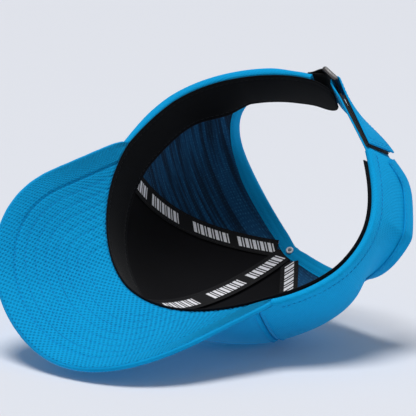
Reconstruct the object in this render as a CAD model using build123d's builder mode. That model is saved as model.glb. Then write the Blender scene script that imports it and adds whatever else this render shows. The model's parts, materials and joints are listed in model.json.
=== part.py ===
from build123d import *
import math
import os

# Golf sun visor: a six-panel cap front with a curved bill, the crown cut away behind
# the apex, a sweatband inside and a hook-and-loop strap with a slide buckle behind.
# Frame: +Z up as worn, the bill points to -Y, the wearer's left is +X. The origin is
# the centre of the head opening. Millimetres.

# ---------------------------------------------------------------- driving dimensions
HALF_WIDTH = 88.6          # half width of the head opening, unworn
FRONT_DEPTH = 100.7        # origin to the front of the opening
REAR_DEPTH = 82.7          # origin to the rear of the opening
FRONT_POWER = 1.84         # roundness of the front half (2 is an ellipse)
REAR_POWER = 1.81
CORNER_ANGLE = 65.0        # where the bill ends on each side
SEAM_ANGLE = 59.5          # front panel to side panel seam
APEX = (0.0, 9.6, 97.8)    # where the four panels meet
CENTRE_FULLNESS = 0.581    # handle length of the centre profile
SIDE_FULLNESS = 0.730      # handle length of the side seam profile
APEX_CLEAR = 4.0           # the panels stop this far from the apex axis
BAND_HEIGHT = 34.0         # rear band height
LEFT_END = 152.0           # end of the left rear band
RIGHT_END = 152.0          # end of the right rear band
REAR_START = 125.0         # from here back the side panel is a plain band

BILL_HALF = 81.1           # half width of the bill
BILL_TIP = -168.6          # front of the bill
BILL_WIDEST = -89.0        # where the bill starts to close in
BILL_POWER = 2.12
BILL_Z0 = 12.8             # underside height at the crown seam
BILL_SLOPE = 0.345         # fall towards the tip
BILL_DROP = 33.5           # fall from the middle to the sides
COVER_T = 0.9              # bill cover fabric
BOARD_T = 1.6              # bill board
BILL_GAP = 0.1

TAPE_LAYER = (-0.65, -0.1)     # layers are measured outward from the crown's inner face
LINING_LAYER = (0.7, 1.25)
PANEL_LAYER = (1.5, 2.9)
FOAM_LAYER = (-1.35, -0.55)
SWEAT_LAYER = (-2.9, -2.05)
BIND_INNER = (0.35, 1.25)
BIND_OUTER = (3.15, 4.05)
BIND_WIDTH = 7.0
BIND_OVER = 1.3
SWEAT_HEIGHT = 33.0
TAPE_WIDTH = 12.0
LEFT_BULGE = 1.5           # the left side stands this much fuller than the right

TAB_BAR = (31.2, 86.0)     # buckle bar that the webbing tab holds
STRAP_BAR = (21.0, 86.2)   # buckle bar that the strap folds around
BAR_R = 1.3
BUCKLE_T = 3.6
BUCKLE_LOW = -1.5
BUCKLE_HIGH = 27.5
STRAP_W = 24.0
STRAP_T = 1.2
STRAP_END = (-35.5, 69.0)
STRAP_LEAN0 = 2.0          # the strap stands upright at the buckle
STRAP_LEAN1 = 34.0         # and leans out with the right rear band
FOLD_R = 2.2               # inner radius of the fold round the buckle bar
TAB_W = 22.0


# ---------------------------------------------------------------- head opening curve
def power(v, e):
    return math.copysign(abs(v) ** e, v)


def smooth(v):
    v = min(1.0, max(0.0, v))
    return v * v * (3 - 2 * v)


def table(v, pairs):
    """Value at v from (v, value) pairs, joined by smooth steps."""
    if v <= pairs[0][0]:
        return pairs[0][1]
    for (a, fa), (b, fb) in zip(pairs, pairs[1:]):
        if v <= b:
            return fa + (fb - fa) * (v - a) / (b - a)
    return pairs[-1][1]


def edge_xy(t):
    """Point of the head opening at t degrees from the front, + to the wearer's left."""
    s, c = math.sin(math.radians(t)), math.cos(math.radians(t))
    n, a = (FRONT_POWER, FRONT_DEPTH) if c >= 0 else (REAR_POWER, REAR_DEPTH)
    x, y = HALF_WIDTH * power(s, 2 / n), -a * power(c, 2 / n)
    if t < 0:
        y -= 7.0 * smooth((-t - 108) / 44)
    else:
        y += 2.6 * smooth((t - 120) / 40)
    return x, y


def bill_z(x, y):
    return BILL_Z0 + BILL_SLOPE * (y + FRONT_DEPTH) - BILL_DROP * (x / BILL_HALF) ** 2


def edge_z(t):
    a = abs(t)
    x, y = edge_xy(t)
    if a <= CORNER_ANGLE:
        return bill_z(x, y)
    xc, yc = edge_xy(CORNER_ANGLE)
    side = 6.06 * math.sin(math.radians(a)) ** 2
    corner = bill_z(xc, yc) - 6.06 * math.sin(math.radians(CORNER_ANGLE)) ** 2
    return side + corner * math.exp(-(a - CORNER_ANGLE) / 12)


def inward(t):
    x0, y0 = edge_xy(t - 0.2)
    x1, y1 = edge_xy(t + 0.2)
    l = math.hypot(x1 - x0, y1 - y0)
    return -(y1 - y0) / l, (x1 - x0) / l


def lean(t):
    """How far the band wall leans in (+) or out (-), in degrees."""
    return sum(lean_at(t + step) for step in (-6, -3, 0, 3, 6)) / 5


def lean_at(t):
    if t >= 0:
        return table(t, [(60, 4), (75, 0), (90, -4.7), (135, -5.2), (150, -3), (160, 0)])
    return table(-t, [(60, 4), (75, 0), (90, -5), (100, -13), (110, -24), (118, -30), (130, -28), (140, -29), (152, -33)])


def wall_height(t):
    if t >= 0:
        return table(t, [(143, BAND_HEIGHT), (148, 31), (152, 25)])
    return table(-t, [(143, BAND_HEIGHT), (148, 31.5), (152, 24.5)])


def mix(a, b, v):
    return tuple(p + (q - p) * v for p, q in zip(a, b))


def wall_point(t, w, l):
    (x, y), (nx, ny) = edge_xy(t), inward(t)
    s, c = math.sin(math.radians(l)), math.cos(math.radians(l))
    return x + w * s * nx, y + w * s * ny, edge_z(t) + w * c


def bezier(p, u):
    m = 1 - u
    return tuple(m**3 * a + 3 * m * m * u * b + 3 * m * u * u * c + u**3 * d for a, b, c, d in zip(*p))


def opening_curve(side):
    """Edge of the cut-away crown from the apex to the rear band's upper edge."""
    end = wall_point(side * REAR_START, wall_height(side * REAR_START), lean(side * REAR_START))
    if side > 0:
        return APEX, (40.1, 22.7, 94.7), (85.1, 19.9, 56.5), end
    return APEX, (-40.1, 22.7, 94.7), (-88.5, 19.9, 58.0), end


# ---------------------------------------------------------------- crown sections
def add(p, q, f=1.0):
    return tuple(a + b * f for a, b in zip(p, q))


def dot(p, q):
    return sum(a * b for a, b in zip(p, q))


def unit(p):
    l = math.sqrt(dot(p, p))
    return tuple(a / l for a in p)


def cross(p, q):
    return p[1] * q[2] - p[2] * q[1], p[2] * q[0] - p[0] * q[2], p[0] * q[1] - p[1] * q[0]


def wall_way(t):
    """Direction straight up the band wall."""
    nx, ny = inward(t)
    s, c = math.sin(math.radians(lean(t))), math.cos(math.radians(lean(t)))
    return nx * s, ny * s, c


def section(t):
    """Origin, inward axis and upward axis of the crown section at t, with its four control points."""
    x, y = edge_xy(t)
    z = edge_z(t)
    base = (x, y, z)
    a = abs(t)
    ax, ay, az = APEX
    l = math.hypot(ax - x, ay - y)
    to_apex = ((ax - x) / l, (ay - y) / l, 0.0)
    if a <= SEAM_ANGLE:
        k = CENTRE_FULLNESS + (SIDE_FULLNESS - CENTRE_FULLNESS) * smooth(a / SEAM_ANGLE)
        rise = az - z
        return base, to_apex, (0.0, 0.0, 1.0), ((0, 0), (0, k * rise), (l - k * l, rise), (l, rise))
    n_in = (*inward(t), 0.0)
    way = wall_way(t)
    v = (a - SEAM_ANGLE) / (REAR_START - SEAM_ANGLE)
    if v >= 1:
        w = wall_height(t)
        return base, unit(add(n_in, way, -dot(n_in, way))), way, ((0, 0), (0, w / 3), (0, w * 2 / 3), (0, w))
    end = bezier(opening_curve(1 if t >= 0 else -1), v)
    chord = add(end, base, -1)
    length = math.sqrt(dot(chord, chord))
    up = unit(chord)
    n = unit(mix(to_apex, n_in, v))
    across = unit(add(n, up, -dot(n, up)))
    rise = (way if v > 0.3 else unit(mix((0, 0, 1), way, v / 0.3)))
    last = unit(mix(to_apex, way, smooth(v)))
    k = (0.519 + (0.333 - 0.519) * v) * length
    d0 = unit((dot(rise, across), dot(rise, up)))
    d1 = unit((dot(last, across), dot(last, up)))
    return base, across, up, ((0, 0), (k * d0[0], k * d0[1]), (-k * d1[0], length - k * d1[1]), (0, length))


def layer(t, d, w0, w1, n=7):
    """n points of the section at t, d outward from the inner face, from w0 along it to w1 (negative: from its top)."""
    if t > 62 and d > 1.4:
        d = d + LEFT_BULGE * smooth((t - 62) / 20) * (1 - smooth((t - 136) / 12))
    c = section(t)[3]
    m = 80
    pts = [bezier(c, i / m) for i in range(m + 1)]
    run = [0.0]
    for p, q in zip(pts, pts[1:]):
        run.append(run[-1] + math.hypot(q[0] - p[0], q[1] - p[1]))
    total = run[-1]
    w1 = w1 if w1 > 0 else total + w1
    out = []
    for i in range(n):
        w = w0 + (w1 - w0) * i / (n - 1)
        j = max(0, min(m - 1, next((k for k in range(m) if run[k + 1] >= w), m - 1)))
        f = (w - run[j]) / (run[j + 1] - run[j])
        p = mix(pts[j], pts[j + 1], f)
        a, b = pts[max(0, j - 1)], pts[min(m, j + 2)]
        th, tz = b[0] - a[0], b[1] - a[1]
        g = math.hypot(th, tz)
        out.append((p[0] - d * tz / g, p[1] + d * th / g))
    return out


def section_plane(t):
    base, across, up, _ = section(t)
    return Plane(origin=base, x_dir=across, z_dir=cross(across, up))


def panel_foot(t):
    """The panels stand on the bill as far as its corners, and reach the band's lower edge behind them."""
    return 4.3 * (1 - smooth((abs(t) - 65.5) / 8)) + 0.2


FRONT_STATIONS = [0.15, 8, 18, 29, 40, 50, 59.2]
SIDE_STATIONS = [59.8, 64, 69, 75, 83, 92, 97, 102, 107.5, 113, 119, 125, 130, 136]
LEFT_STATIONS = SIDE_STATIONS + [140, 143, 146, 149, LEFT_END]
RIGHT_STATIONS = SIDE_STATIONS + [140, 143, 146, 149, RIGHT_END]


def top_trim(t, extra=0.0):
    """Sections that run to the apex stop short of it."""
    return -(APEX_CLEAR if abs(t) <= SEAM_ANGLE + 0.7 else 0.01) - extra


# ---------------------------------------------------------------- crown panels
with BuildPart() as front_panel_left:
    for t in FRONT_STATIONS:
        with BuildSketch(section_plane(t)):
            with BuildLine():
                a = Spline(*layer(t, PANEL_LAYER[0], panel_foot(t), top_trim(t)))
                b = Spline(*layer(t, PANEL_LAYER[1], panel_foot(t), top_trim(t)))
                Line(a @ 1, b @ 1)
                Line(a @ 0, b @ 0)
            make_face()
    loft()
front_panel_left.part.label = "front_panel_left"

with BuildPart() as front_panel_right:
    for t in FRONT_STATIONS:
        with BuildSketch(section_plane(-t)):
            with BuildLine():
                a = Spline(*layer(-t, PANEL_LAYER[0], panel_foot(t), top_trim(t)))
                b = Spline(*layer(-t, PANEL_LAYER[1], panel_foot(t), top_trim(t)))
                Line(a @ 1, b @ 1)
                Line(a @ 0, b @ 0)
            make_face()
    loft()
front_panel_right.part.label = "front_panel_right"

with BuildPart() as side_panel_left:
    for t in LEFT_STATIONS:
        with BuildSketch(section_plane(t)):
            with BuildLine():
                a = Spline(*layer(t, PANEL_LAYER[0], panel_foot(t), top_trim(t)))
                b = Spline(*layer(t, PANEL_LAYER[1], panel_foot(t), top_trim(t)))
                Line(a @ 1, b @ 1)
                Line(a @ 0, b @ 0)
            make_face()
    loft()
side_panel_left.part.label = "side_panel_left"

with BuildPart() as side_panel_right:
    for t in RIGHT_STATIONS:
        with BuildSketch(section_plane(-t)):
            with BuildLine():
                a = Spline(*layer(-t, PANEL_LAYER[0], panel_foot(t), top_trim(t)))
                b = Spline(*layer(-t, PANEL_LAYER[1], panel_foot(t), top_trim(t)))
                Line(a @ 1, b @ 1)
                Line(a @ 0, b @ 0)
            make_face()
    loft()
side_panel_right.part.label = "side_panel_right"

# ---------------------------------------------------------------- linings behind the panels
with BuildPart() as front_lining_left:
    for t in FRONT_STATIONS:
        with BuildSketch(section_plane(t)):
            with BuildLine():
                a = Spline(*layer(t, LINING_LAYER[0], panel_foot(t), top_trim(t, 2)))
                b = Spline(*layer(t, LINING_LAYER[1], panel_foot(t), top_trim(t, 2)))
                Line(a @ 1, b @ 1)
                Line(a @ 0, b @ 0)
            make_face()
    loft()
front_lining_left.part.label = "front_lining_left"

with BuildPart() as front_lining_right:
    for t in FRONT_STATIONS:
        with BuildSketch(section_plane(-t)):
            with BuildLine():
                a = Spline(*layer(-t, LINING_LAYER[0], panel_foot(t), top_trim(t, 2)))
                b = Spline(*layer(-t, LINING_LAYER[1], panel_foot(t), top_trim(t, 2)))
                Line(a @ 1, b @ 1)
                Line(a @ 0, b @ 0)
            make_face()
    loft()
front_lining_right.part.label = "front_lining_right"

LINING_STATIONS = SIDE_STATIONS[:12]

with BuildPart() as side_lining_left:
    for t in LINING_STATIONS:
        with BuildSketch(section_plane(t)):
            with BuildLine():
                a = Spline(*layer(t, LINING_LAYER[0], panel_foot(t), top_trim(t, BIND_WIDTH + 1.5)))
                b = Spline(*layer(t, LINING_LAYER[1], panel_foot(t), top_trim(t, BIND_WIDTH + 1.5)))
                Line(a @ 1, b @ 1)
                Line(a @ 0, b @ 0)
            make_face()
    loft()
side_lining_left.part.label = "side_lining_left"

with BuildPart() as side_lining_right:
    for t in LINING_STATIONS:
        with BuildSketch(section_plane(-t)):
            with BuildLine():
                a = Spline(*layer(-t, LINING_LAYER[0], panel_foot(t), top_trim(t, BIND_WIDTH + 1.5)))
                b = Spline(*layer(-t, LINING_LAYER[1], panel_foot(t), top_trim(t, BIND_WIDTH + 1.5)))
                Line(a @ 1, b @ 1)
                Line(a @ 0, b @ 0)
            make_face()
    loft()
side_lining_right.part.label = "side_lining_right"

# ---------------------------------------------------------------- binding along the cut-away edge


def binding_outline(t):
    """U-shaped section round the panel's edge: down the outside, over the edge, back up inside."""
    trim = top_trim(t)
    oo = layer(t, BIND_OUTER[1], 0.001, trim, 2)[1], layer(t, BIND_OUTER[0], 0.001, trim, 2)[1]
    ii = layer(t, BIND_INNER[0], 0.001, trim, 2)[1], layer(t, BIND_INNER[1], 0.001, trim, 2)[1]
    low = [layer(t, d, 0.001, trim - BIND_WIDTH, 2)[1] for d in (BIND_OUTER[1], BIND_OUTER[0], BIND_INNER[1], BIND_INNER[0])]
    # direction past the edge
    gx, gz = ii[0][0] - low[3][0], ii[0][1] - low[3][1]
    g = math.hypot(gx, gz)
    gx, gz = gx / g, gz / g
    past = lambda p, w: (p[0] + gx * w, p[1] + gz * w)
    return [low[0], past(oo[0], BIND_OVER), past(ii[0], BIND_OVER), low[3], low[2], past(ii[1], 0.5), past(oo[1], 0.5), low[1]]


with BuildPart() as crown_binding_left:
    for t in LEFT_STATIONS:
        with BuildSketch(section_plane(t)):
            with BuildLine():
                Polyline(*binding_outline(t), close=True)
            make_face()
    loft()
crown_binding_left.part.label = "crown_binding_left"

with BuildPart() as crown_binding_right:
    for t in RIGHT_STATIONS:
        with BuildSketch(section_plane(-t)):
            with BuildLine():
                Polyline(*binding_outline(-t), close=True)
            make_face()
    loft()
crown_binding_right.part.label = "crown_binding_right"

# ---------------------------------------------------------------- sweatband and its foam
SWEAT_RIGHT = [151, 148, 143, 136, 130, 125, 119, 113, 107.5, 102, 97, 92, 83, 75, 69, 64, 59.4, 50, 40, 29, 18, 8]
SWEAT_LEFT = [0, 8, 18, 29, 40, 50, 59.4, 64, 69, 75, 83, 92, 102, 113, 119, 125, 130, 136, 143, 148, 155, 160, 164, 166.8]


def sweat_span(t):
    """Lower and upper reach of the sweatband; its left end is rounded."""
    if t > 156:
        f = (t - 156) / 11.0
        cut = 12.0 * (1 - math.sqrt(max(0.0, 1 - f * f)))
        return cut, SWEAT_HEIGHT - 2 - cut
    return 0.0, SWEAT_HEIGHT if t > -146 else table(-t, [(146, SWEAT_HEIGHT), (150, 28)])


def wall_layer(t, d, w0, w1, n=4):
    """As layer, for pieces that run on past the end of the band."""
    if abs(t) <= REAR_START:
        return layer(t, d, w0, w1, n)
    return [(-d, w0 + (w1 - w0) * i / (n - 1)) for i in range(n)]


with BuildPart() as sweatband:
    for t in [-v for v in SWEAT_RIGHT] + SWEAT_LEFT:
        with BuildSketch(section_plane(t)):
            with BuildLine():
                a = Spline(*wall_layer(t, SWEAT_LAYER[0], *sweat_span(t)))
                b = Spline(*wall_layer(t, SWEAT_LAYER[1], *sweat_span(t)))
                Line(a @ 1, b @ 1)
                Line(a @ 0, b @ 0)
            make_face()
    loft()
sweatband.part.label = "sweatband"

with BuildPart() as sweatband_foam:
    for t in [-v for v in SWEAT_RIGHT[3:]] + SWEAT_LEFT[:-5]:
        with BuildSketch(section_plane(t)):
            with BuildLine():
                a = Spline(*wall_layer(t, FOAM_LAYER[0], 3.5, 29.5))
                b = Spline(*wall_layer(t, FOAM_LAYER[1], 3.5, 29.5))
                Line(a @ 1, b @ 1)
                Line(a @ 0, b @ 0)
            make_face()
    loft(ruled=True)
sweatband_foam.part.label = "sweatband_foam"


# ---------------------------------------------------------------- seam tapes inside the crown
def tape_frames(t, w0, trim, n):
    """Planes across the tape at n places up the seam, each on the inner face."""
    base, across, up, _ = section(t)
    mid = sum(TAPE_LAYER) / 2
    pts = layer(t, mid, w0, trim, n)
    beside = []
    for step in (-4, 4):
        b0, x0, y0, _ = section(t + step)
        beside.append([add(add(b0, x0, p[0]), y0, p[1]) for p in layer(t + step, mid, w0, trim, n)])
    out = []
    for i, p in enumerate(pts):
        a, b = pts[max(0, i - 1)], pts[min(n - 1, i + 1)]
        g = unit((b[0] - a[0], b[1] - a[1]))
        way = add(tuple(c * g[0] for c in across), up, g[1])
        j = min(i, n - 2)
        flat = add(beside[1][j], beside[0][j], -1)
        flat = unit(add(flat, way, -dot(flat, way)))
        out.append(Plane(origin=add(add(base, across, p[0]), up, p[1]), x_dir=flat, z_dir=way))
    return out


with BuildPart() as seam_tape_center:
    for plane in tape_frames(0.0, 30.0, -15.0, 8):
        with BuildSketch(plane):
            Rectangle(TAPE_WIDTH, TAPE_LAYER[1] - TAPE_LAYER[0])
    loft()
seam_tape_center.part.label = "seam_tape_center"

with BuildPart() as seam_tape_left:
    for plane in tape_frames(SEAM_ANGLE, 30.0, -6.5, 8):
        with BuildSketch(plane):
            Rectangle(TAPE_WIDTH, TAPE_LAYER[1] - TAPE_LAYER[0])
    loft()
seam_tape_left.part.label = "seam_tape_left"

with BuildPart() as seam_tape_right:
    for plane in tape_frames(-SEAM_ANGLE, 30.0, -6.5, 8):
        with BuildSketch(plane):
            Rectangle(TAPE_WIDTH, TAPE_LAYER[1] - TAPE_LAYER[0])
    loft()
seam_tape_right.part.label = "seam_tape_right"


# ---------------------------------------------------------------- bill
def bill_strip(d):
    """Section of the bill across its width at y = -35, d above the underside."""
    pts = []
    for i in range(-8, 9):
        x = i * 10.6
        z = bill_z(x, -35.0)
        g = -2 * BILL_DROP * x / BILL_HALF**2
        l = math.hypot(1, g)
        pts.append((x - d * g / l, z + d / l))
    return pts


def bill_outer(inset, start=-43.5):
    """Outer edge of the bill from the left corner round the tip to the right corner."""
    half, depth = BILL_HALF - inset, BILL_WIDEST - BILL_TIP - inset
    pts = [(80.6 - inset, start), (half - 0.1, -66.0)]
    for i in range(0, 25):
        a = math.pi * i / 24
        pts.append((half * power(math.cos(a), 2 / BILL_POWER), BILL_WIDEST - depth * abs(math.sin(a)) ** (2 / BILL_POWER)))
    return pts + [(-half + 0.1, -66.0), (-80.6 + inset, start)]


def bill_inner(inset, reach=62.0):
    """Edge of the bill along the crown, left to right."""
    pts = []
    for i in range(13):
        t = reach - 2 * reach * i / 12
        (x, y), (nx, ny) = edge_xy(t), inward(t)
        pts.append((x - nx * (0.2 + inset), y - ny * (0.2 + inset)))
    return pts


SLOPE_DIR = (0, -1, -BILL_SLOPE)
SLOPE_RUN = 150 * math.hypot(1, BILL_SLOPE)
UNDER = (0.0, COVER_T)
BOARD = (COVER_T + BILL_GAP, COVER_T + BILL_GAP + BOARD_T)
TOP = (BOARD[1] + BILL_GAP, BOARD[1] + BILL_GAP + COVER_T)

with BuildPart() as bill_under_cover:
    with BuildSketch(Plane.XZ.offset(35)):
        with BuildLine():
            a = Spline(*bill_strip(UNDER[0]))
            b = Spline(*bill_strip(UNDER[1]))
            Line(a @ 1, b @ 1)
            Line(a @ 0, b @ 0)
        make_face()
    extrude(amount=SLOPE_RUN, dir=SLOPE_DIR)
    with BuildSketch(Plane.XY.offset(-70)):
        with BuildLine():
            o = Spline(*bill_outer(0.0))
            i = Spline(*bill_inner(0.0))
            Line(o @ 0, i @ 0)
            Line(o @ 1, i @ 1)
        make_face()
    extrude(amount=140, mode=Mode.INTERSECT)
bill_under_cover.part.label = "bill_under_cover"

with BuildPart() as bill_board:
    with BuildSketch(Plane.XZ.offset(35)):
        with BuildLine():
            a = Spline(*bill_strip(BOARD[0]))
            b = Spline(*bill_strip(BOARD[1]))
            Line(a @ 1, b @ 1)
            Line(a @ 0, b @ 0)
        make_face()
    extrude(amount=SLOPE_RUN, dir=SLOPE_DIR)
    with BuildSketch(Plane.XY.offset(-70)):
        with BuildLine():
            o = Spline(*bill_outer(2.4, -54.0))
            i = Spline(*bill_inner(1.5, 57.0))
            Line(o @ 0, i @ 0)
            Line(o @ 1, i @ 1)
        make_face()
    extrude(amount=140, mode=Mode.INTERSECT)
bill_board.part.label = "bill_board"

with BuildPart() as bill_rim_seam:
    with BuildSketch(Plane.XZ.offset(35)):
        with BuildLine():
            a = Spline(*bill_strip(BOARD[0]))
            b = Spline(*bill_strip(BOARD[1]))
            Line(a @ 1, b @ 1)
            Line(a @ 0, b @ 0)
        make_face()
    extrude(amount=SLOPE_RUN, dir=SLOPE_DIR)
    with BuildSketch(Plane.XY.offset(-70)):
        with BuildLine():
            o = Spline(*bill_outer(0.3, -46.0))
            i = Spline(*bill_outer(2.1, -46.0))
            Line(o @ 0, i @ 0)
            Line(o @ 1, i @ 1)
        make_face()
    extrude(amount=140, mode=Mode.INTERSECT)
bill_rim_seam.part.label = "bill_rim_seam"

with BuildPart() as bill_top_cover:
    with BuildSketch(Plane.XZ.offset(35)):
        with BuildLine():
            a = Spline(*bill_strip(TOP[0]))
            b = Spline(*bill_strip(TOP[1]))
            Line(a @ 1, b @ 1)
            Line(a @ 0, b @ 0)
        make_face()
    extrude(amount=SLOPE_RUN, dir=SLOPE_DIR)
    with BuildSketch(Plane.XY.offset(-70)):
        with BuildLine():
            o = Spline(*bill_outer(0.0))
            i = Spline(*bill_inner(0.0))
            Line(o @ 0, i @ 0)
            Line(o @ 1, i @ 1)
        make_face()
    extrude(amount=140, mode=Mode.INTERSECT)
bill_top_cover.part.label = "bill_top_cover"

# ---------------------------------------------------------------- button at the apex
with BuildPart() as top_button:
    with BuildSketch(Plane.XY.offset(APEX[2] + 4.3)):
        with Locations((APEX[0], APEX[1])):
            Circle(6.2)
    extrude(amount=3.2)
    fillet(top_button.edges().filter_by(GeomType.CIRCLE).group_by(Axis.Z)[-1], 2.6)
    with BuildSketch(Plane.XY.offset(APEX[2] - 0.9)):
        with Locations((APEX[0], APEX[1])):
            Circle(1.1)
    extrude(amount=5.3)
top_button.part.label = "top_button"

with BuildPart() as button_washer:
    with BuildSketch(Plane.XY.offset(APEX[2] - 0.75)):
        with Locations((APEX[0], APEX[1])):
            Circle(2.5)
            Circle(1.15, mode=Mode.SUBTRACT)
    extrude(amount=0.7)
    fillet(button_washer.edges().filter_by(GeomType.CIRCLE).group_by(Axis.Z)[0].sort_by(SortBy.RADIUS)[-1], 0.3)
button_washer.part.label = "button_washer"

# ---------------------------------------------------------------- buckle and its tab
BAR_MID = ((TAB_BAR[0] + STRAP_BAR[0]) / 2, (TAB_BAR[1] + STRAP_BAR[1]) / 2)
BAR_DX, BAR_DY = TAB_BAR[0] - STRAP_BAR[0], TAB_BAR[1] - STRAP_BAR[1]
BAR_L = math.hypot(BAR_DX, BAR_DY)
BUCKLE_PLANE = Plane(origin=(BAR_MID[0], BAR_MID[1], BUCKLE_LOW), x_dir=(BAR_DX, BAR_DY, 0), z_dir=(0, 0, 1))

with BuildPart() as buckle:
    # two end cheeks joined by two round bars
    with BuildSketch(BUCKLE_PLANE):
        SlotOverall(BAR_L + BUCKLE_T, BUCKLE_T)
    extrude(amount=2.0)
    with BuildSketch(BUCKLE_PLANE.offset(BUCKLE_HIGH - BUCKLE_LOW - 2.0)):
        SlotOverall(BAR_L + BUCKLE_T, BUCKLE_T)
    extrude(amount=2.0)
    with BuildSketch(BUCKLE_PLANE):
        with Locations((-BAR_L / 2, 0), (BAR_L / 2, 0)):
            Circle(BAR_R)
    extrude(amount=BUCKLE_HIGH - BUCKLE_LOW)
buckle.part.label = "buckle"

TAB_DIR = (0.872, -0.489)
TAB_NORM = (0.489, 0.872)
TAB_LOW = (BUCKLE_LOW + BUCKLE_HIGH) / 2 - TAB_W / 2
TAB_PLANE = Plane(origin=(TAB_BAR[0], TAB_BAR[1], TAB_LOW), x_dir=(*TAB_DIR, 0), z_dir=(0, 0, 1))

with BuildPart() as buckle_tab:
    # webbing loop round the bar; both layers run back along the band and are sewn to it
    with BuildSketch(TAB_PLANE):
        Circle(2.7)
        with BuildLine():
            Polyline((0.0, -2.7), (6.0, -1.9), (10.0, -0.8), (20.0, -0.8), (20.0, 1.1), (8.0, 1.3), (0.0, 2.7), close=True)
        make_face()
        Circle(1.65, mode=Mode.SUBTRACT)
    extrude(amount=TAB_W)
buckle_tab.part.label = "buckle_tab"

# ---------------------------------------------------------------- strap, tongue, hook and loop
STRAP_DX, STRAP_DY = STRAP_END[0] - STRAP_BAR[0], STRAP_END[1] - STRAP_BAR[1]
STRAP_L = math.hypot(STRAP_DX, STRAP_DY)
UX, UY = STRAP_DX / STRAP_L, STRAP_DY / STRAP_L
OX, OY = UY, -UX
if OY < 0:
    OX, OY = -OX, -OY
STRAP_LOW = (BUCKLE_LOW + BUCKLE_HIGH) / 2 - STRAP_W / 2


def strap_plane(s):
    """Plane across the strap, s mm from the buckle bar; x is outward, y is up."""
    return Plane(origin=(STRAP_BAR[0] + UX * s, STRAP_BAR[1] + UY * s, STRAP_LOW), x_dir=(OX, OY, 0), z_dir=(OY, -OX, 0))


def strap_box(s, lo, hi, bottom=0.0, top=STRAP_W):
    """Corners of one strap layer at s, between lo and hi outward of the stack's middle, leaning with the band."""
    l = math.radians(STRAP_LEAN0 + (STRAP_LEAN1 - STRAP_LEAN0) * smooth((s + 4) / (STRAP_L + 8)))
    c, n = math.cos(l), math.sin(l)
    return [(d * c + w * n, w * c - d * n) for d, w in ((lo, bottom), (hi, bottom), (hi, top), (lo, top))]


def run_offsets(s):
    """Inner run: close to the bar at the buckle, then pressed to the tongue, then into the right tab."""
    mid = -table(s, [(0, 2.95), (12, 2.4), (STRAP_L - 2, 2.4), (STRAP_L + 3.2, 3.1), (STRAP_L + 7, 4.1)])
    return mid - STRAP_T / 2, mid + STRAP_T / 2


def run_top(s):
    """The run narrows where it is sewn inside the right tab."""
    return table(s, [(STRAP_L + 1, STRAP_W), (STRAP_L + 3.2, 17.0), (STRAP_L + 7, 16.5)])


def tongue_offsets(s):
    mid = table(s, [(0, FOLD_R + STRAP_T / 2), (12, 2.1), (STRAP_L, 2.1)])
    return mid - STRAP_T / 2, mid + STRAP_T / 2


PATCH_STATIONS = [14.0, 20.0, 26.0, 32.0, 38.0, 44.0, 49.0, 54.0]
TONGUE_END = STRAP_L - 3.0

with BuildPart() as closure_strap:
    for s in [4.0, 9.0] + PATCH_STATIONS + [TONGUE_END + 0.8, STRAP_L + 0.5, STRAP_L + 3.2, STRAP_L + 7]:
        with BuildSketch(strap_plane(s)):
            with BuildLine():
                Polyline(*strap_box(s, *run_offsets(s), 0.8, run_top(s)), close=True)
            make_face()
    loft(ruled=True)
closure_strap.part.label = "closure_strap"

with BuildPart() as loop_patch:
    for s in PATCH_STATIONS:
        with BuildSketch(strap_plane(s)):
            with BuildLine():
                Polyline(*strap_box(s, -1.7, -0.5, 1.5, STRAP_W - 1.5), close=True)
            make_face()
    loft(ruled=True)
loop_patch.part.label = "loop_patch"

with BuildPart() as strap_tongue:
    for s in [0.0, 4.0, 9.0] + PATCH_STATIONS + [TONGUE_END]:
        with BuildSketch(strap_plane(s)):
            with BuildLine():
                Polyline(*strap_box(s, *tongue_offsets(s)), close=True)
            make_face()
    loft(ruled=True)
    # fold round the buckle bar
    with BuildSketch(Plane(origin=(STRAP_BAR[0], STRAP_BAR[1], STRAP_LOW), x_dir=(OX, OY, 0), z_dir=(0, 0, 1))):
        with BuildLine():
            side = 1 if (OX * UY - OY * UX) > 0 else -1
            far = -side
            a = ThreePointArc((-FOLD_R, 0), (0, far * FOLD_R), (FOLD_R, 0))
            b = ThreePointArc((-FOLD_R - STRAP_T, 0), (0, far * (FOLD_R + STRAP_T)), (FOLD_R + STRAP_T, 0))
            Line(a @ 0, b @ 0)
            Line(a @ 1, b @ 1)
        make_face()
    extrude(amount=STRAP_W)
strap_tongue.part.label = "strap_tongue"

with BuildPart() as hook_patch:
    for s in PATCH_STATIONS:
        with BuildSketch(strap_plane(s)):
            with BuildLine():
                Polyline(*strap_box(s, -0.1, 1.4, 1.5, STRAP_W - 1.5), close=True)
            make_face()
    loft(ruled=True)
hook_patch.part.label = "hook_patch"

# ---------------------------------------------------------------- files
os.makedirs("parts", exist_ok=True)
for piece in (
    front_panel_left, front_panel_right, side_panel_left, side_panel_right,
    front_lining_left, front_lining_right, side_lining_left, side_lining_right,
    crown_binding_left, crown_binding_right, sweatband, sweatband_foam,
    seam_tape_center, seam_tape_left, seam_tape_right,
    bill_under_cover, bill_board, bill_rim_seam, bill_top_cover,
    top_button, button_washer, buckle, buckle_tab,
    closure_strap, loop_patch, strap_tongue, hook_patch,
):
    export_step(piece.part, "parts/" + piece.part.label + ".step")
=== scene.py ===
import bmesh
import bpy
import json
import math
import numpy as np
from mathutils import Matrix, Vector

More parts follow.
